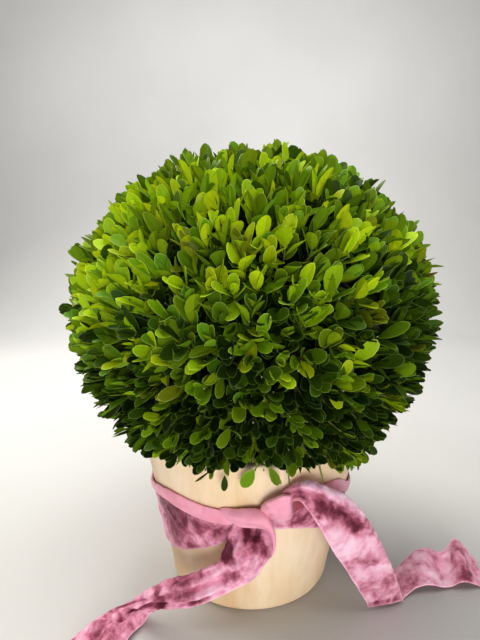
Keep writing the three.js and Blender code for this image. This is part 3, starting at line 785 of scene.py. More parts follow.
# the rest of it on the ground: near edge and far edge, in low waves
SPREAD = [
    ((92.5, -65.5, 2.2), (112.0, -52.0, 2.4), 0.0), ((103.0, -63.5, 2.2), (118.0, -40.0, 2.4), 0.4),
    ((114.5, -61.0, 2.4), (124.0, -28.0, 2.6), 0.8), ((124.0, -56.0, 3.0), (133.0, -17.0, 3.4), 1.6),
    ((133.5, -50.5, 5.0), (143.0, -10.0, 6.5), 3.0), ((143.0, -49.0, 8.5), (154.0, -5.5, 11.0), 3.0),
    ((152.0, -48.0, 7.5), (164.0, -6.0, 12.0), 0.5), ((160.0, -46.0, 4.0), (175.0, -3.0, 7.0), -2.0),
    ((168.0, -44.0, 3.4), (184.0, 0.0, 10.0), -0.5), ((175.0, -45.5, 8.0), (190.0, 0.5, 18.0), 2.4),
    ((183.0, -45.0, 7.5), (196.0, -3.5, 14.0), 0.5), ((191.0, -43.0, 3.4), (203.0, -4.0, 5.5), -1.0),
    ((197.5, -43.0, 2.4), (206.0, -6.0, 2.6), 0.0),
]
# lighter and darker bands across the spread's low waves: painted light and shade; x, y, z, size, amount
SPREAD_SPOTS = [
    (147.0, -45.0, 8.0, 5, 0.26), (149.0, -35.0, 9.5, 5, 0.30), (151.0, -20.0, 10.5, 6, 0.26),
    (170.0, -40.0, 4.5, 5, 0.22), (173.0, -24.0, 6.2, 6, 0.30), (177.0, -8.0, 8.5, 6, 0.24),
    (179.0, -42.0, 9.0, 5, -0.30), (182.0, -30.0, 11.0, 6, -0.34), (187.0, -15.0, 14.0, 6, -0.30),
    (186.4, -36.5, 8.3, 5, -0.20), (158.0, -36.0, 8.0, 7, 0.20), (130.6, -47.0, 4.3, 8, -0.06),
]
spread = loft("ribbon_tail_spread", [
    [np.array(a) + (np.array(b) - np.array(a)) * t + np.array((0, 0, w * math.sin(math.pi * t))) for t in (0, 0.25, 0.5, 0.75, 1)]
    for a, b, w in SPREAD], 130, 44, dent=0.9, dent_size=9.0, spots=SPREAD_SPOTS)
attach(spread, "root")
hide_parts("tail_right_spread")


# ------------------------------------------------------------------ wood of the plant
def tube(points, radii, sides, turn=0.0, cap=False):
    """A tapering limb through points: vertices, triangles, and the triangles of its end."""
    p = np.asarray(points, float)
    d = np.gradient(p, axis=0)
    d /= np.linalg.norm(d, axis=1, keepdims=True)
    ref = np.array((0.31, 0.17, 0.93)) if abs(d[0][2]) < 0.8 else np.array((0.93, 0.21, 0.3))
    a = np.cross(d, ref)
    a /= np.linalg.norm(a, axis=1, keepdims=True)
    b = np.cross(d, a)
    t = np.arange(sides) * 2 * np.pi / sides + turn
    ring = a[:, None, :] * np.cos(t)[None, :, None] + b[:, None, :] * np.sin(t)[None, :, None]
    v = (p[:, None, :] + ring * np.asarray(radii, float)[:, None, None]).reshape(-1, 3)
    n = len(p)
    q = grid_faces(n, sides, close_cols=True)
    tris = np.concatenate([q[:, [0, 2, 1]], q[:, [0, 3, 2]]])
    v = np.concatenate([v, [p[0]], [p[-1]]])
    j = np.arange(sides)
    k = (j + 1) % sides
    foot = np.stack([k, j, np.full(sides, n * sides)], -1)
    end = np.stack([(n - 1) * sides + j, (n - 1) * sides + k, np.full(sides, n * sides + 1)], -1)
    return v, np.concatenate([tris, foot]), end


class Joined:
    def __init__(self):
        self.v, self.f, self.s, self.n = [], [], [], 0

    def add(self, v, f, slot=0):
        self.v.append(v)
        self.f.append(np.asarray(f) + self.n)
        self.s.append(np.full(len(f), slot, np.int32))
        self.n += len(v)

    def add_more(self, f, slot, start):
        self.f.append(np.asarray(f) + start)
        self.s.append(np.full(len(f), slot, np.int32))


def bark_material(name, dark, light, scale):
    m, nt, b = new_material(name)
    v = mapping(nt, (1, 1, 0.35))
    n = noise_node(nt, v, scale, 5, 0.65, 0.6)
    r = ramp_node(nt, n.outputs["Fac"], [(0.32, dark), (0.68, light)])
    nt.links.new(r.outputs["Color"], b.inputs["Base Color"])
    b.inputs["Roughness"].default_value = 0.85
    bump_from(nt, b, n.outputs["Fac"], 0.6, 0.0006)
    return m


rng = np.random.default_rng(SEED)
CENTRE = np.array((0.0, 0.0, BALL_Z))
AXES = np.array((BALL_R, BALL_R, BALL_H))


def unit(v):
    v = np.asarray(v, float)
    return v / np.maximum(np.linalg.norm(v, axis=-1, keepdims=True), 1e-12)


def even_sphere(n, shake, phase=0.0):
    i = np.arange(n) + 0.5
    z = 1 - 2 * i / n
    a = i * math.pi * (3 - math.sqrt(5)) + phase
    r = np.sqrt(1 - z * z)
    d = np.stack([r * np.cos(a), r * np.sin(a), z], -1)
    return unit(d + rng.normal(0, shake, d.shape))


def lumps(d):
    """How far the clipped face stands out, in millimetres, along the direction d."""
    x, y, z = d[..., 0], d[..., 1], d[..., 2]
    low = (np.sin(5 * x + 2 * y + 3 * z + 0.4) + np.sin(-3 * x + 6 * y + 2 * z + 1.7)
           + np.sin(7 * x - 8 * y + 5 * z + 2.9) + np.sin(9 * x + 6 * y - 10 * z + 4.1)) / 4
    full = np.exp(-((1 - (d @ unit(np.array((0.66, -0.10, 0.74))))) / 0.14) ** 2)
    return 1.8 * low + 3.2 * full


# the stem, and the limbs that leave it
def stem_point(z):
    t = (z - FILL_TOP) / (STEM_TOP - FILL_TOP)
    return np.array((4.0 * t * t, 0.0, z))


def make_stem():
    zs = np.linspace(FILL_TOP + 0.3, STEM_TOP - 0.2, 60)
    pts = np.array([stem_point(z) for z in zs])
    t = (zs - zs[0]) / (zs[-1] - zs[0])
    rad = 7.0 * (1 - 0.35 * t) + 5.0 * np.exp(-11 * t)
    v, f, e = tube(pts, rad, 40)
    # bark: shallow upright furrows
    for i in range(60 * 40):
        p = v[i]
        c = stem_point(p[2])
        out = p - c
        out[2] = 0
        r = np.linalg.norm(out)
        k = turbulence(Vector((p[0] * 0.45, p[1] * 0.45, p[2] * 0.07)), 3, False)
        v[i] = p + out / max(r, 1e-6) * (0.9 * k - 0.9)
    o = make_object("stem_bark", v, np.concatenate([f, e]),
                    materials=(bark_material("bark_old", srgb(70, 58, 42), srgb(132, 116, 90), 220),))
    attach(o, "root")
    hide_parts("stem")


make_stem()

wood = Joined()
BOUGHS, BRANCHES, TWIGS = 16, 110, 620


def keep(d, lowest):
    return d[d[:, 2] > lowest]


bough_dir = keep(even_sphere(BOUGHS + 3, 0.08), -0.72)
branch_dir = keep(even_sphere(BRANCHES + 14, 0.05, 0.7), -0.76)
twig_dir = keep(even_sphere(TWIGS + 90, 0.025, 1.9), -0.80)


def bent(a, b, sag, steps):
    """A limb from a to b, bowed a little, and its points."""
    t = np.linspace(0, 1, steps)[:, None]
    bow = rng.normal(0, 1, 3) * sag * np.linalg.norm(b - a)
    return a + (b - a) * t + bow * (4 * t * (1 - t)) * 0.25


bough_end, branch_end, twig_end = [], [], []
for d in bough_dir:
    start = stem_point(STEM_TOP - 3 - 62 * (0.5 - 0.5 * d[2]) * rng.uniform(0.7, 1.0))
    end = CENTRE + d * AXES * 0.36 - np.array((0, 0, 4))
    end[2] = max(end[2], 152)
    pts = bent(start, end, 0.25, 7)
    v, f, e = tube(pts, np.linspace(3.4, 2.3, 7), 7)
    wood.add(v, np.concatenate([f, e]), 0)
    bough_end.append(end)
bough_end = np.array(bough_end)
for d in branch_dir:
    end = CENTRE + d * AXES * 0.58
    rr = math.hypot(end[0], end[1])
    if end[2] < 146 and rr > 60:
        end[2] = 146
    start = bough_end[np.argmin(np.linalg.norm(bough_end - end, axis=1))]
    pts = bent(start, end, 0.22, 6)
    v, f, e = tube(pts, np.linspace(2.2, 1.4, 6), 6)
    wood.add(v, np.concatenate([f, e]), 0)
    branch_end.append(end)
branch_end = np.array(branch_end)
for d in twig_dir:
    end = CENTRE + d * AXES * 0.72
    if end[2] < 148 and math.hypot(end[0], end[1]) > 70:
        end[2] = 148 + rng.uniform(0, 3)
    start = branch_end[np.argmin(np.linalg.norm(branch_end - end, axis=1))]
    pts = bent(start, end, 0.2, 4)
    v, f, e = tube(pts, np.linspace(1.3, 0.9, 4), 5)
    wood.add(v, np.concatenate([f, e]), 0)
    twig_end.append(end)
twig_end = np.array(twig_end)

# ------------------------------------------------------------------ tints of the leaves
# upper face, under face, rim: the under face paler, partly the leaf's own paler back, partly painted light shining
# through the leaf; the rim pale, partly the leaf's own margin, partly a painted highlight along its edge
TINTS = [
    ("lime_bright", (156, 188, 10), (178, 204, 18), (194, 212, 64)),
    ("lime", (130, 164, 8), (154, 184, 14), (172, 196, 56)),
    ("lime_yellow", (148, 168, 8), (168, 188, 16), (184, 202, 60)),
    ("fresh", (100, 138, 8), (128, 162, 14), (146, 176, 52)),
    ("fresh_cool", (84, 128, 18), (110, 150, 26), (132, 166, 60)),
    ("green_warm", (88, 114, 6), (116, 142, 12), (134, 158, 48)),
    ("green", (71, 101, 6), (98, 130, 14), (118, 148, 50)),
    ("green_mid", (52, 80, 5), (74, 104, 9), (98, 126, 40)),
    ("green_deep", (36, 58, 4), (54, 80, 8), (82, 108, 36)),
    ("dark", (22, 38, 3), (36, 56, 6), (68, 92, 32)),
    ("dark_cool", (20, 42, 9), (34, 60, 15), (66, 94, 40)),
    ("blue_green", (44, 76, 24), (66, 98, 34), (92, 122, 60)),
    ("olive", (94, 104, 8), (116, 128, 16), (134, 148, 50)),
    ("bronze", (84, 78, 12), (98, 96, 20), (118, 116, 44)),
]
TINT = {t[0]: i for i, t in enumerate(TINTS)}


def leaf_material(name, rgb, rough, spec, sheen=0.0):
    m, nt, b = new_material(name)
    b.inputs["Base Color"].default_value = srgb(*rgb)
    b.inputs["Roughness"].default_value = rough
    b.inputs["Specular IOR Level"].default_value = spec
    return m


leaf_mats = []
for tname, up, under, rim in TINTS:
    gloss = 1.0 if up[1] > 70 else 0.6  # the dark ones shine less
    leaf_mats.append((
        leaf_material("leaf_" + tname + "_upper", up, 0.50, 0.13 * gloss),
        leaf_material("leaf_" + tname + "_under", under, 0.62, 0.08 * gloss),
        leaf_material("leaf_" + tname + "_rim", rim, 0.55, 0.14),
    ))


MIX = [  # how high on the ball, and the share of each tint there: darker mixes low on the ball, partly the leaves' own deeper green, partly painted shade
    (1.00, {"lime_bright": 1, "lime": 8, "lime_yellow": 3, "fresh": 23, "green_warm": 26, "green": 26, "green_mid": 13}),
    (0.55, {"lime_bright": 11, "lime": 28, "lime_yellow": 9, "fresh": 28, "green_warm": 14, "green": 8, "green_mid": 2}),
    (0.20, {"lime_bright": 7, "lime": 16, "lime_yellow": 4, "fresh": 24, "fresh_cool": 6, "green_warm": 18, "green": 15, "green_mid": 10, "green_deep": 3}),
    (-0.10, {"lime_bright": 2, "lime": 5, "fresh": 9, "fresh_cool": 4, "green_warm": 10, "green": 16, "green_mid": 24, "green_deep": 20, "dark": 10}),
    (-0.45, {"lime": 1.4, "fresh": 3.5, "green_warm": 5, "green": 10, "green_mid": 21, "green_deep": 30, "dark": 22, "dark_cool": 7}),
    (-1.00, {"lime": 1, "fresh": 2, "green": 4, "green_mid": 11, "green_deep": 29, "dark": 43, "dark_cool": 10}),
]


def tint_for(d):
    """A tint for a spray that looks along d, drawn from the mix of its place, with painted light and shade by where it
    looks.
    """
    right = d[0]
    # painted light and shade: the level falls to the right, away from the window, and rises to the left low on the ball
    level = d[2] - 0.30 * max(right, 0) - 0.04 * max(-right, 0) + rng.normal(0, 0.10)
    if d[2] < 0.05:
        level += 0.20 * max(-right, 0) - 0.16 * max(right, 0) - 0.06 * math.exp(-((right / 0.5) ** 2))
    elif d[2] < 0.40:
        level -= 0.08 * max(right, 0)
    if d[2] < 0.22 and abs(right) < 0.5 and rng.random() < 0.10:
        return TINT["lime" if rng.random() < 0.4 else "fresh"]  # a few light sprays among the dark ones
    # painted light: more of the brightest tint in the upper middle of the ball
    if rng.random() < 0.24 * math.exp(-((right / 0.4) ** 2) - ((d[2] - 0.52) / 0.2) ** 2):
        return TINT["lime_bright"]
    if rng.random() < (0.13 if right > 0.35 and d[2] < 0.6 else 0.02):
        return TINT["olive"] if rng.random() < 0.95 else TINT["bronze"]
    if rng.random() < 0.006:
        return TINT["blue_green"]
    row = min(range(len(MIX)), key=lambda i: abs(MIX[i][0] - level))
    names = list(MIX[row][1])
    share = np.array([MIX[row][1][n] for n in names], float)
    tint = TINT[str(rng.choice(names, p=share / share.sum()))]
    if d[2] > -0.1 and rng.random() < 1.1 * max(right - 0.06, 0):
        tint = min(tint + 3, TINT["green_deep"])  # painted shade: deeper tints on the side away from the window
    elif d[2] > 0.72 and rng.random() < 0.22:
        tint = min(tint + 3, TINT["green_mid"])
    return tint


NEXT_TINT = {i: max(i - 1, 0) if i < 10 else i for i in range(len(TINTS))}
DEEPER = {i: min(i + 3, TINT["dark"]) if i <= TINT["dark"] else TINT["green_deep"] for i in range(len(TINTS))}  # older leaves
DEEPEST = {i: min(i + 5, TINT["dark"]) if i <= TINT["dark"] else TINT["dark"] for i in range(len(TINTS))}  # the oldest, inside

# ------------------------------------------------------------------ one leaf's own shape
# the outline: base, up one side, tip, down the other side
RIGHT_U = [0.12, 0.34, 0.60, 0.81, 0.94]
OUT_U = np.array([0.0] + RIGHT_U + [1.0] + RIGHT_U[::-1])
OUT_S = np.array([0.0] + [1.0] * 5 + [0.0] + [-1.0] * 5)
MID_U = np.array([0.22, 0.50, 0.79])


def half_width(u, a, b):
    u = np.clip(u, 0, 1)
    top = (a / (a + b)) ** a * (b / (a + b)) ** b
    return u**a * (1 - u) ** b / top


def leaf_faces():
    n = 12
    rim = []
    for k in range(n):
        k2 = (k + 1) % n
        rim += [(k, k2, n + k2), (k, n + k2, n + k)]
    def web(ring, mid, flip):
        r = [ring + i for i in (0, 1, 2, 3, 4, 5, 6)]
        l = [ring + i for i in (0, 11, 10, 9, 8, 7, 6)]
        m = [mid, mid + 1, mid + 2]
        def side(c, turn):
            f = [(c[0], c[1], m[0]), (c[1], c[2], m[0]), (m[0], c[2], m[1]), (c[2], c[3], m[1]),
                 (m[1], c[3], m[2]), (c[3], c[4], m[2]), (c[4], c[5], m[2]), (c[5], c[6], m[2])]
            return [t[::-1] for t in f] if turn else f
        return side(r, flip) + side(l, not flip)
    top = web(12, 24, False)
    under = web(0, 27, True)
    return np.array(rim), np.array(top), np.array(under)


RIM_F, TOP_F, UNDER_F = leaf_faces()


def leaf_vertices(P):
    """P holds arrays, one value per leaf. Returns (leaves, 30, 3)."""
    m = len(P["L"])
    L, W = P["L"][:, None], P["W"][:, None]
    a, b = P["a"][:, None], P["b"][:, None]
    u = OUT_U[None, :] * np.ones((m, 1))
    w = half_width(u, a, b) * W
    x_out = OUT_S * w
    y_out = u * L
    y_out = y_out - (OUT_U == 1.0) * P["notch"][:, None] * L
    inset = np.minimum(P["rim"][:, None], 0.3 * W)
    wi = np.maximum(w - inset, 0.3 * w)
    x_in = OUT_S * wi
    y_in = 0.52 * L + (y_out - 0.52 * L) * (1 - 1.7 * inset / L)
    x_mid = np.zeros((m, 3))
    y_mid = MID_U[None, :] * L
    x = np.concatenate([x_out, x_in, x_mid, x_mid], 1)
    y = np.concatenate([y_out, y_in, y_mid, y_mid], 1)
    uu = y / L
    z = P["cup"][:, None] * x * x / W + P["vee"][:, None] * np.abs(x) + P["bend"][:, None] * L * uu**2
    z = z + P["wave"][:, None] * np.sin(uu * 5.0) * x / W * 1.2
    thick = np.zeros((m, 30))
    thick[:, 12:24] = 0.16
    thick[:, 24:27] = 0.10
    thick[:, 27:30] = -0.34
    z = z + thick
    tw = P["twist"][:, None] * uu
    x, z = x * np.cos(tw) - z * np.sin(tw), x * np.sin(tw) + z * np.cos(tw)
    ex = np.cross(P["l"], P["n"])
    return (P["o"][:, None, :] + x[..., None] * ex[:, None, :] + y[..., None] * P["l"][:, None, :]
            + z[..., None] * P["n"][:, None, :])


# a plainer leaf for the depths of the ball
IN_U = np.array([0.0, 0.30, 0.66, 0.92, 1.0, 0.92, 0.66, 0.30])
IN_S = np.array([0.0, 1, 1, 1, 0, -1, -1, -1])


def inner_vertices(P):
    m = len(P["L"])
    L, W = P["L"][:, None], P["W"][:, None]
    u = IN_U[None, :] * np.ones((m, 1))
    x = np.concatenate([IN_S * half_width(u, P["a"][:, None], P["b"][:, None]) * W, np.zeros((m, 2))], 1)
    y = np.concatenate([u * L, np.full((m, 1), 0.5) * L, np.full((m, 1), 0.5) * L], 1)
    uu = y / L
    z = P["cup"][:, None] * x * x / W + P["vee"][:, None] * np.abs(x) + P["bend"][:, None] * L * uu**2
    z[:, 8] += 0.12
    z[:, 9] -= 0.30
    ex = np.cross(P["l"], P["n"])
    return (P["o"][:, None, :] + x[..., None] * ex[:, None, :] + y[..., None] * P["l"][:, None, :]
            + z[..., None] * P["n"][:, None, :])


IN_TOP = np.array([(k, (k + 1) % 8, 8) for k in range(8)])
IN_UNDER = np.array([((k + 1) % 8, k, 9) for k in range(8)])

# ------------------------------------------------------------------ sprays of leaves
leaves = []  # (fine, tint, origin, length way, upper-face way, length, half width, age)
shoot_v = Joined()


def add_leaf(fine, tint, origin, l, n, length, half, age):
    l = unit(l)
    n = n - l * float(np.dot(n, l))
    n = unit(n)
    leaves.append((fine, tint, origin, l, n, length, half, age))


SKY = np.array((0, 0, 0.75))  # how far a leaf that lies level turns its face up to the light


def shaded(d):
    """How far the side of the ball that looks along d is in its own shade."""
    return min(1.0, max(0.0, (0.16 - d[2]) / 0.55))


def spray(base, tip, axis, tint, pairs=5, kind=0, lift=0.06, scale=1.0, shade=None):
    """A clipped shoot from base to tip: opposite pairs of leaves, each pair a quarter turn
    on from the last. Kind 0 ends in a cut stalk between the last pair, kind 1 in young
    leaves still closed on each other."""
    axis = unit(axis)
    low = shaded(unit(tip - CENTRE)) if shade is None else shade
    level_leaves = rng.random() < 0.72 * low  # some shaded sprays lay their leaves level, edge on to the eye
    first = (rng.uniform(17.2, 20.6) if kind == 0 else rng.uniform(13.8, 16.8)) * scale * (1 - 0.22 * low)
    end = tip - axis * first
    reach = np.linalg.norm(end - base)
    mid = end - axis * 0.5 * reach + rng.normal(0, 1, 3) * 1.2
    ts = np.linspace(0, 1, 6)[:, None]
    curve = (1 - ts) ** 2 * base + 2 * ts * (1 - ts) * mid + ts**2 * end
    length = np.linalg.norm(np.diff(curve, axis=0), axis=1).sum()
    if kind == 0:
        curve = np.concatenate([curve, [end + axis * rng.uniform(0.8, 2.6)]])
    rad = np.linspace(0.85, 0.55, len(curve))
    v, f, e = tube(curve, rad, 4, rng.uniform(0, 1.5))
    start = shoot_v.n
    shoot_v.add(v, f, 0)
    shoot_v.add_more(e, 1 if kind == 0 else 0, start)
    roll = rng.uniform(0, math.pi)
    back = 0.0
    angles = ((23, 28, 34, 40, 45, 48), (9, 17, 26, 34, 42, 46))[kind]
    sizes = ((0.96, 1.0, 1.0, 0.96, 0.92, 0.9), (0.70, 0.90, 1.0, 1.0, 0.95, 0.9))[kind]
    steps = ((7.0, 8.0, 8.8, 9.0, 9.0, 9.0), (4.8, 6.8, 8.4, 9.0, 9.0, 9.0))[kind]
    for j in range(pairs):
        t = 1 - back / max(length, 1)
        if t < 0.04:
            break
        p = (1 - t) ** 2 * base + 2 * t * (1 - t) * mid + t**2 * end
        ax = unit((1 - t) * (mid - base) + t * (end - mid))
        ref = np.array((0, 0, 1.0)) if abs(ax[2]) < 0.9 else np.array((0, 1.0, 0))
        s1 = unit(np.cross(ax, ref))
        s2 = np.cross(ax, s1)
        angle = math.radians(angles[j] + rng.normal(0, 5)) * (0.94 - 0.30 * low)
        for side in (0, 1):
            if rng.random() < 0.05:
                continue  # a leaf lost to the shears
            phi = roll + j * math.pi / 2 + side * math.pi + rng.normal(0, 0.16)
            out = s1 * math.cos(phi) + s2 * math.sin(phi)
            th = angle + math.radians(rng.normal(0, 5))
            l = ax * math.cos(th) + out * math.sin(th)
            n = ax * math.sin(th) - out * math.cos(th)
            l = unit(l * (1, 1, 0.4 if level_leaves else 1) + np.array((0, 0, lift)) + rng.normal(0, 0.05, 3))
            n = unit(n + (SKY * 2.6 if level_leaves else SKY * (1 - 0.80 * low)) + rng.normal(0, 0.15, 3))
            roll_by = 0.0 if level_leaves else rng.normal(0, 0.10 + (0.25 if j == 0 else 0.60) * low)
            n = n * math.cos(roll_by) + np.cross(l, n) * math.sin(roll_by)
            length_mm = sizes[j] * scale * rng.uniform(18.0, 26.0) * (1 - 0.27 * low)
            half = length_mm * rng.uniform(0.192, 0.242)
            tt = tint if rng.random() < 0.75 else NEXT_TINT[tint]
            # older leaves further down the shoot take deeper tints, and more often on the shaded side of the ball:
            # partly age, partly painted shade
            if rng.random() < ((0.03, 0.12 + 0.33 * low, 0.55 + 0.2 * low, 0.88, 0.95)[min(j, 4)]):
                tt = DEEPER[tt] if j < 3 else DEEPEST[tt]
            add_leaf(j < 4, tt, p + out * 0.5, l, n, length_mm, half, j)
        back += steps[j] * scale * rng.uniform(0.9, 1.12)


UP = np.array((0, 0, 0.54))


tips_dir = even_sphere(SPRIGS, 0.018, 0.3)
for d in tips_dir:
    surf = CENTRE + d * (AXES - 0.5 + lumps(d) - 2.4 * max(d[2], 0) ** 2 + rng.normal(0, 1.7))
    r = math.hypot(surf[0], surf[1])
    z = surf[2]
    if z < 133 and r < pot_r(z) + 8:
        # over the rim: only the ones that hang outside the pot are kept
        if z < 116 or r < 84:
            continue
        push = pot_r(z) + rng.uniform(5, 11)
        surf[0] *= push / r
        surf[1] *= push / r
        surf[2] = rng.uniform(112, 128)
    if rng.random() < 0.015:
        surf = surf + d * rng.uniform(2, 4) * (d[2] < 0.6)
    tw = twig_end[np.argmin(np.linalg.norm(twig_end - (CENTRE + (surf - CENTRE) * 0.74), axis=1))]
    base = tw
    if surf[2] < 136 and math.hypot(*surf[:2]) < 118:
        base = np.array((surf[0] * 0.80, surf[1] * 0.80, 150 + rng.uniform(0, 4)))
    rise = UP * (1 - 0.6 * shaded(d))
    spray(base, surf, unit(d + rise + rng.normal(0, 0.09, 3)), tint_for(d), pairs=5, kind=int(rng.random() < 0.34 + 0.10 * shaded(d)))

# older leaves along the twigs, deep in the ball
for d, p in zip(twig_dir, twig_end):
    for k in range(4):
        out = unit(d + rng.normal(0, 0.55, 3))
        face = unit(d + rng.normal(0, 0.5, 3))
        at = p + rng.normal(0, 4.0, 3) - d * rng.uniform(0, 16)
        add_leaf(False, TINT["dark" if rng.random() < 0.7 else "green_deep"], at, unit(np.cross(out, face)), face,
                 rng.uniform(19, 26), rng.uniform(4.6, 6.2), 4)

# the fringe that hangs over the rim of the pot
for i in range(170):
    az = 360 * (i + rng.uniform(-0.3, 0.3)) / 170
    a = math.radians(az)
    out = np.array((math.sin(a), -math.cos(a), 0))
    side = np.array((math.cos(a), math.sin(a), 0))
    z = rng.uniform(119, 137)
    tip = out * (pot_r(z) + rng.uniform(5.0, 17.0)) + np.array((0, 0, z))
    base = out * rng.uniform(80, 90) + np.array((0, 0, rng.uniform(145, 152)))
    d = unit(tip - CENTRE)
    way = unit(unit(tip - base) + out * rng.uniform(0.1, 0.9) + side * rng.normal(0, 0.35))
    spray(base, tip, way, tint_for(d + np.array((0, 0, 0.22))), pairs=4, kind=int(rng.random() < 0.4), lift=0.0, scale=rng.uniform(0.66, 0.9), shade=0.3)

# a clump that hangs lower at the right: azimuth, height, how far off the pot, tint
for az, z, off, tint in [(36, 123, 8, "green_warm"), (39.5, 121, 9, "green"), (43, 119.5, 9, "fresh"), (46.5, 118, 10, "green_warm"),
                         (50, 118, 11, "green_mid"), (54, 119, 12, "green"), (41, 125, 13, "green_warm"), (47, 124, 14, "fresh"),
                         (52, 123, 14, "green")]:
    a = math.radians(az)
    out = np.array((math.sin(a), -math.cos(a), 0))
    tip = out * (pot_r(z) + off) + np.array((0, 0, z))
    base = out * 88 + np.array((0, 0, 148.0))
    spray(base, tip, unit(tip - base) + out * 0.1, TINT[tint], pairs=4, kind=0, lift=0.0, scale=0.74, shade=0.2)

# how far down the leaves hang over the pot: azimuth and height
HEM = [
    (-180, 122), (-150, 126), (-120, 120), (-95, 125), (-75, 121), (-60, 128), (-52, 133), (-44.9, 132.4), (-38.2, 135.5),
    (-34.3, 132.8), (-32.5, 120.8), (-29.9, 126.9), (-27.3, 129.7), (-24.7, 123.7), (-20.4, 123.7), (-16.3, 125.0),
    (-13.9, 125.6), (-11.5, 128.5), (-7.8, 130.0), (-4.8, 132.6), (-1.2, 137.4), (1.6, 139.0), (5.2, 138.8),
    (8.8, 136.0), (13.5, 132.8), (19.7, 128.7), (23.9, 129.6), (29.2, 127.3), (34.9, 122.7), (41.6, 115.5),
    (50.5, 111.1), (62, 118), (80, 124), (105, 120), (130, 125), (155, 121), (180, 122),
]
HEM_AZ, HEM_Z = np.array(HEM, float).T

# a few loose leaves and bare clipped stalks under the front
LOOSE = [
    ((0.6, -103.5, 135.2), (-7.6, -101.0, 120.2), "fresh", 0.26),
    ((10.4, -103.5, 137.0), (17.2, -101.0, 122.4), "green_warm", 0.20),
    ((-19.2, -104.0, 131.1), (-19.4, -100.5, 116.1), "green_deep", 0.16),
]
for a, b, tint, ratio in LOOSE:
    a, b = np.array(a), np.array(b)
    length = np.linalg.norm(b - a)
    add_leaf(True, TINT[tint], a, b - a, np.array((0.15, -1.0, 0.25)), length, length * ratio, -1)
for a, b in [((22.8, -101, 139), (24.9, -99, 122.2)), ((43.9, -101, 139), (48.0, -99, 123.2)),
             ((4.0, -100, 142), (1.2, -101.5, 132.8)), ((9.0, -100, 142), (10.7, -101.5, 135.1))]:
    v, f, e = tube(np.linspace(a, b, 4), np.linspace(0.8, 0.55, 4), 5)
    start = shoot_v.n
    shoot_v.add(v, f, 0)
    shoot_v.add_more(e, 1, start)

# ------------------------------------------------------------------ joining the leaves
kd = KDTree(len(ribbon_points))
for i, p in enumerate(ribbon_points):
    kd.insert(Vector(p), i)
kd.balance()


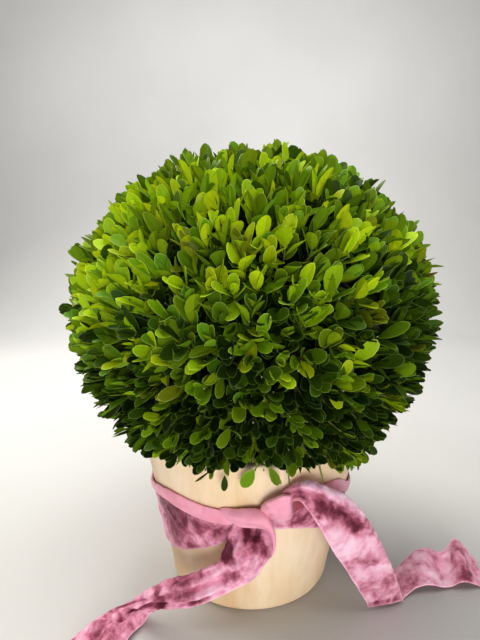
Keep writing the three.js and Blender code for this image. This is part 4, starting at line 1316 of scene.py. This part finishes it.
def build_leaves():
    m = len(leaves)
    P = {
        "o": np.array([x[2] for x in leaves]), "l": np.array([x[3] for x in leaves]),
        "n": np.array([x[4] for x in leaves]), "L": np.array([x[5] for x in leaves]),
        "W": np.array([x[6] for x in leaves]),
    }
    fine = np.array([x[0] for x in leaves])
    tint = np.array([x[1] for x in leaves])
    P["a"] = rng.uniform(0.78, 1.05, m)
    P["b"] = rng.uniform(0.50, 0.66, m)
    P["cup"] = rng.uniform(0.04, 0.32, m)
    P["vee"] = rng.uniform(0.01, 0.10, m)
    P["bend"] = rng.normal(-0.02, 0.09, m)
    P["wave"] = rng.normal(0, 0.25, m)
    P["twist"] = rng.normal(0, 0.16, m)
    P["notch"] = np.where(rng.random(m) < 0.35, rng.uniform(0.01, 0.035, m), 0.0)
    P["rim"] = rng.uniform(0.24, 0.36, m)
    loose = np.array([x[7] == -1 for x in leaves])
    shift = rng.normal(0, 1.5, m)

    def clear(v, loose, shift):
        """Leaves that stay out of the pot's wall, above the hem and off the ribbon."""
        r = np.hypot(v[..., 0], v[..., 1])
        z = v[..., 2]
        inside = (z < POT_HEIGHT + 0.6) & (r < pot_r(z) + 0.8)
        ok = ~inside.any(1)
        i = z.argmin(1)
        k = np.arange(len(v))
        az = np.degrees(np.arctan2(v[k, i, 0], -v[k, i, 1]))
        short = (z[k, i] < np.interp(az, HEM_AZ, HEM_Z) + shift) & (r[k, i] < pot_r(132) + 24)
        for a, b, _, ratio in LOOSE:
            a, b = np.array(a)[[0, 2]], np.array(b)[[0, 2]]
            t = np.clip(((v[..., [0, 2]] - a) @ (b - a)) / ((b - a) @ (b - a)), 0.12, 1)
            gap = np.linalg.norm(v[..., [0, 2]] - a - t[..., None] * (b - a), axis=-1)
            short |= ((gap < np.linalg.norm(b - a) * ratio + 1.0) & (v[..., 1] < -80)).any(1)
        ok &= loose | ~short
        near = np.nonzero(ok & (z.min(1) < 132) & (v[..., 1].min(1) < 0))[0]
        for i in near:
            for q in v[i, ::2]:
                if kd.find(Vector(q))[2] < 1.8:
                    ok[i] = False
                    break
        return ok

    def pick(mask):
        return {k: x[mask] for k, x in P.items()}

    fv = leaf_vertices(pick(fine))
    ft = tint[fine]
    okf = clear(fv, loose[fine], shift[fine])
    fv, ft = fv[okf], ft[okf]
    iv = inner_vertices(pick(~fine))
    it = tint[~fine]
    oki = clear(iv, loose[~fine], shift[~fine])
    iv, it = iv[oki], it[oki]
    print("leaves", len(fv), "fine", len(iv), "plain", "tris", len(fv) * 56 + len(iv) * 16)

    # a share of the tints to each piece, under the limit
    counts = {t: int((ft == t).sum()) * 56 + int((it == t).sum()) * 16 for t in range(len(TINTS))}
    groups = []
    for t, c in sorted(counts.items(), key=lambda x: -x[1]):
        for g in groups:
            if g[1] + c < 190000:
                g[0].append(t)
                g[1] += c
                break
        else:
            groups.append([[t], c])
    for gi, (tints, c) in enumerate(groups):
        V, F, S, sharp, mats, n = [], [], [], [], [], 0
        for k, t in enumerate(sorted(tints)):
            mats += list(leaf_mats[t])
            a = fv[ft == t]
            if len(a):
                base = (np.arange(len(a)) * 30 + n)[:, None, None]
                for fs, slot in ((RIM_F, 2), (TOP_F, 0), (UNDER_F, 1)):
                    F.append((base + fs[None]).reshape(-1, 3))
                    S.append(np.full(len(a) * len(fs), 3 * k + slot, np.int32))
                V.append(a.reshape(-1, 3))
                flag = np.zeros(30, bool)
                flag[:12] = True
                flag[[18, 24, 25, 26, 27, 28, 29]] = True
                sharp.append(np.tile(flag, len(a)))
                n += len(a) * 30
            b = iv[it == t]
            if len(b):
                base = (np.arange(len(b)) * 10 + n)[:, None, None]
                for fs, slot in ((IN_TOP, 0), (IN_UNDER, 1)):
                    F.append((base + fs[None]).reshape(-1, 3))
                    S.append(np.full(len(b) * len(fs), 3 * k + slot, np.int32))
                V.append(b.reshape(-1, 3))
                flag = np.zeros(10, bool)
                flag[:8] = True
                sharp.append(np.tile(flag, len(b)))
                n += len(b) * 10
        o = make_object(f"leaves_{gi + 1}", np.concatenate(V), np.concatenate(F), np.concatenate(S),
                        mats, True, np.concatenate(sharp))
        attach(o, "root")
    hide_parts("crown_ball")


build_leaves()

twig_mat = bark_material("bark_twig", srgb(74, 66, 40), srgb(128, 118, 76), 300)
o = make_object("boughs_and_twigs", np.concatenate(wood.v), np.concatenate(wood.f), np.concatenate(wood.s), (twig_mat,))
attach(o, "root")
shoot_mat, _, sb = new_material("shoot_green")
sb.inputs["Base Color"].default_value = srgb(112, 116, 48)
sb.inputs["Roughness"].default_value = 0.6
cut_mat, _, cb = new_material("shoot_cut")
cb.inputs["Base Color"].default_value = srgb(188, 182, 132)
cb.inputs["Roughness"].default_value = 0.8
o = make_object("shoots", np.concatenate(shoot_v.v), np.concatenate(shoot_v.f), np.concatenate(shoot_v.s), (shoot_mat, cut_mat))
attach(o, "root")
print("shoots", sum(len(f) for f in shoot_v.f), "wood", sum(len(f) for f in wood.f))
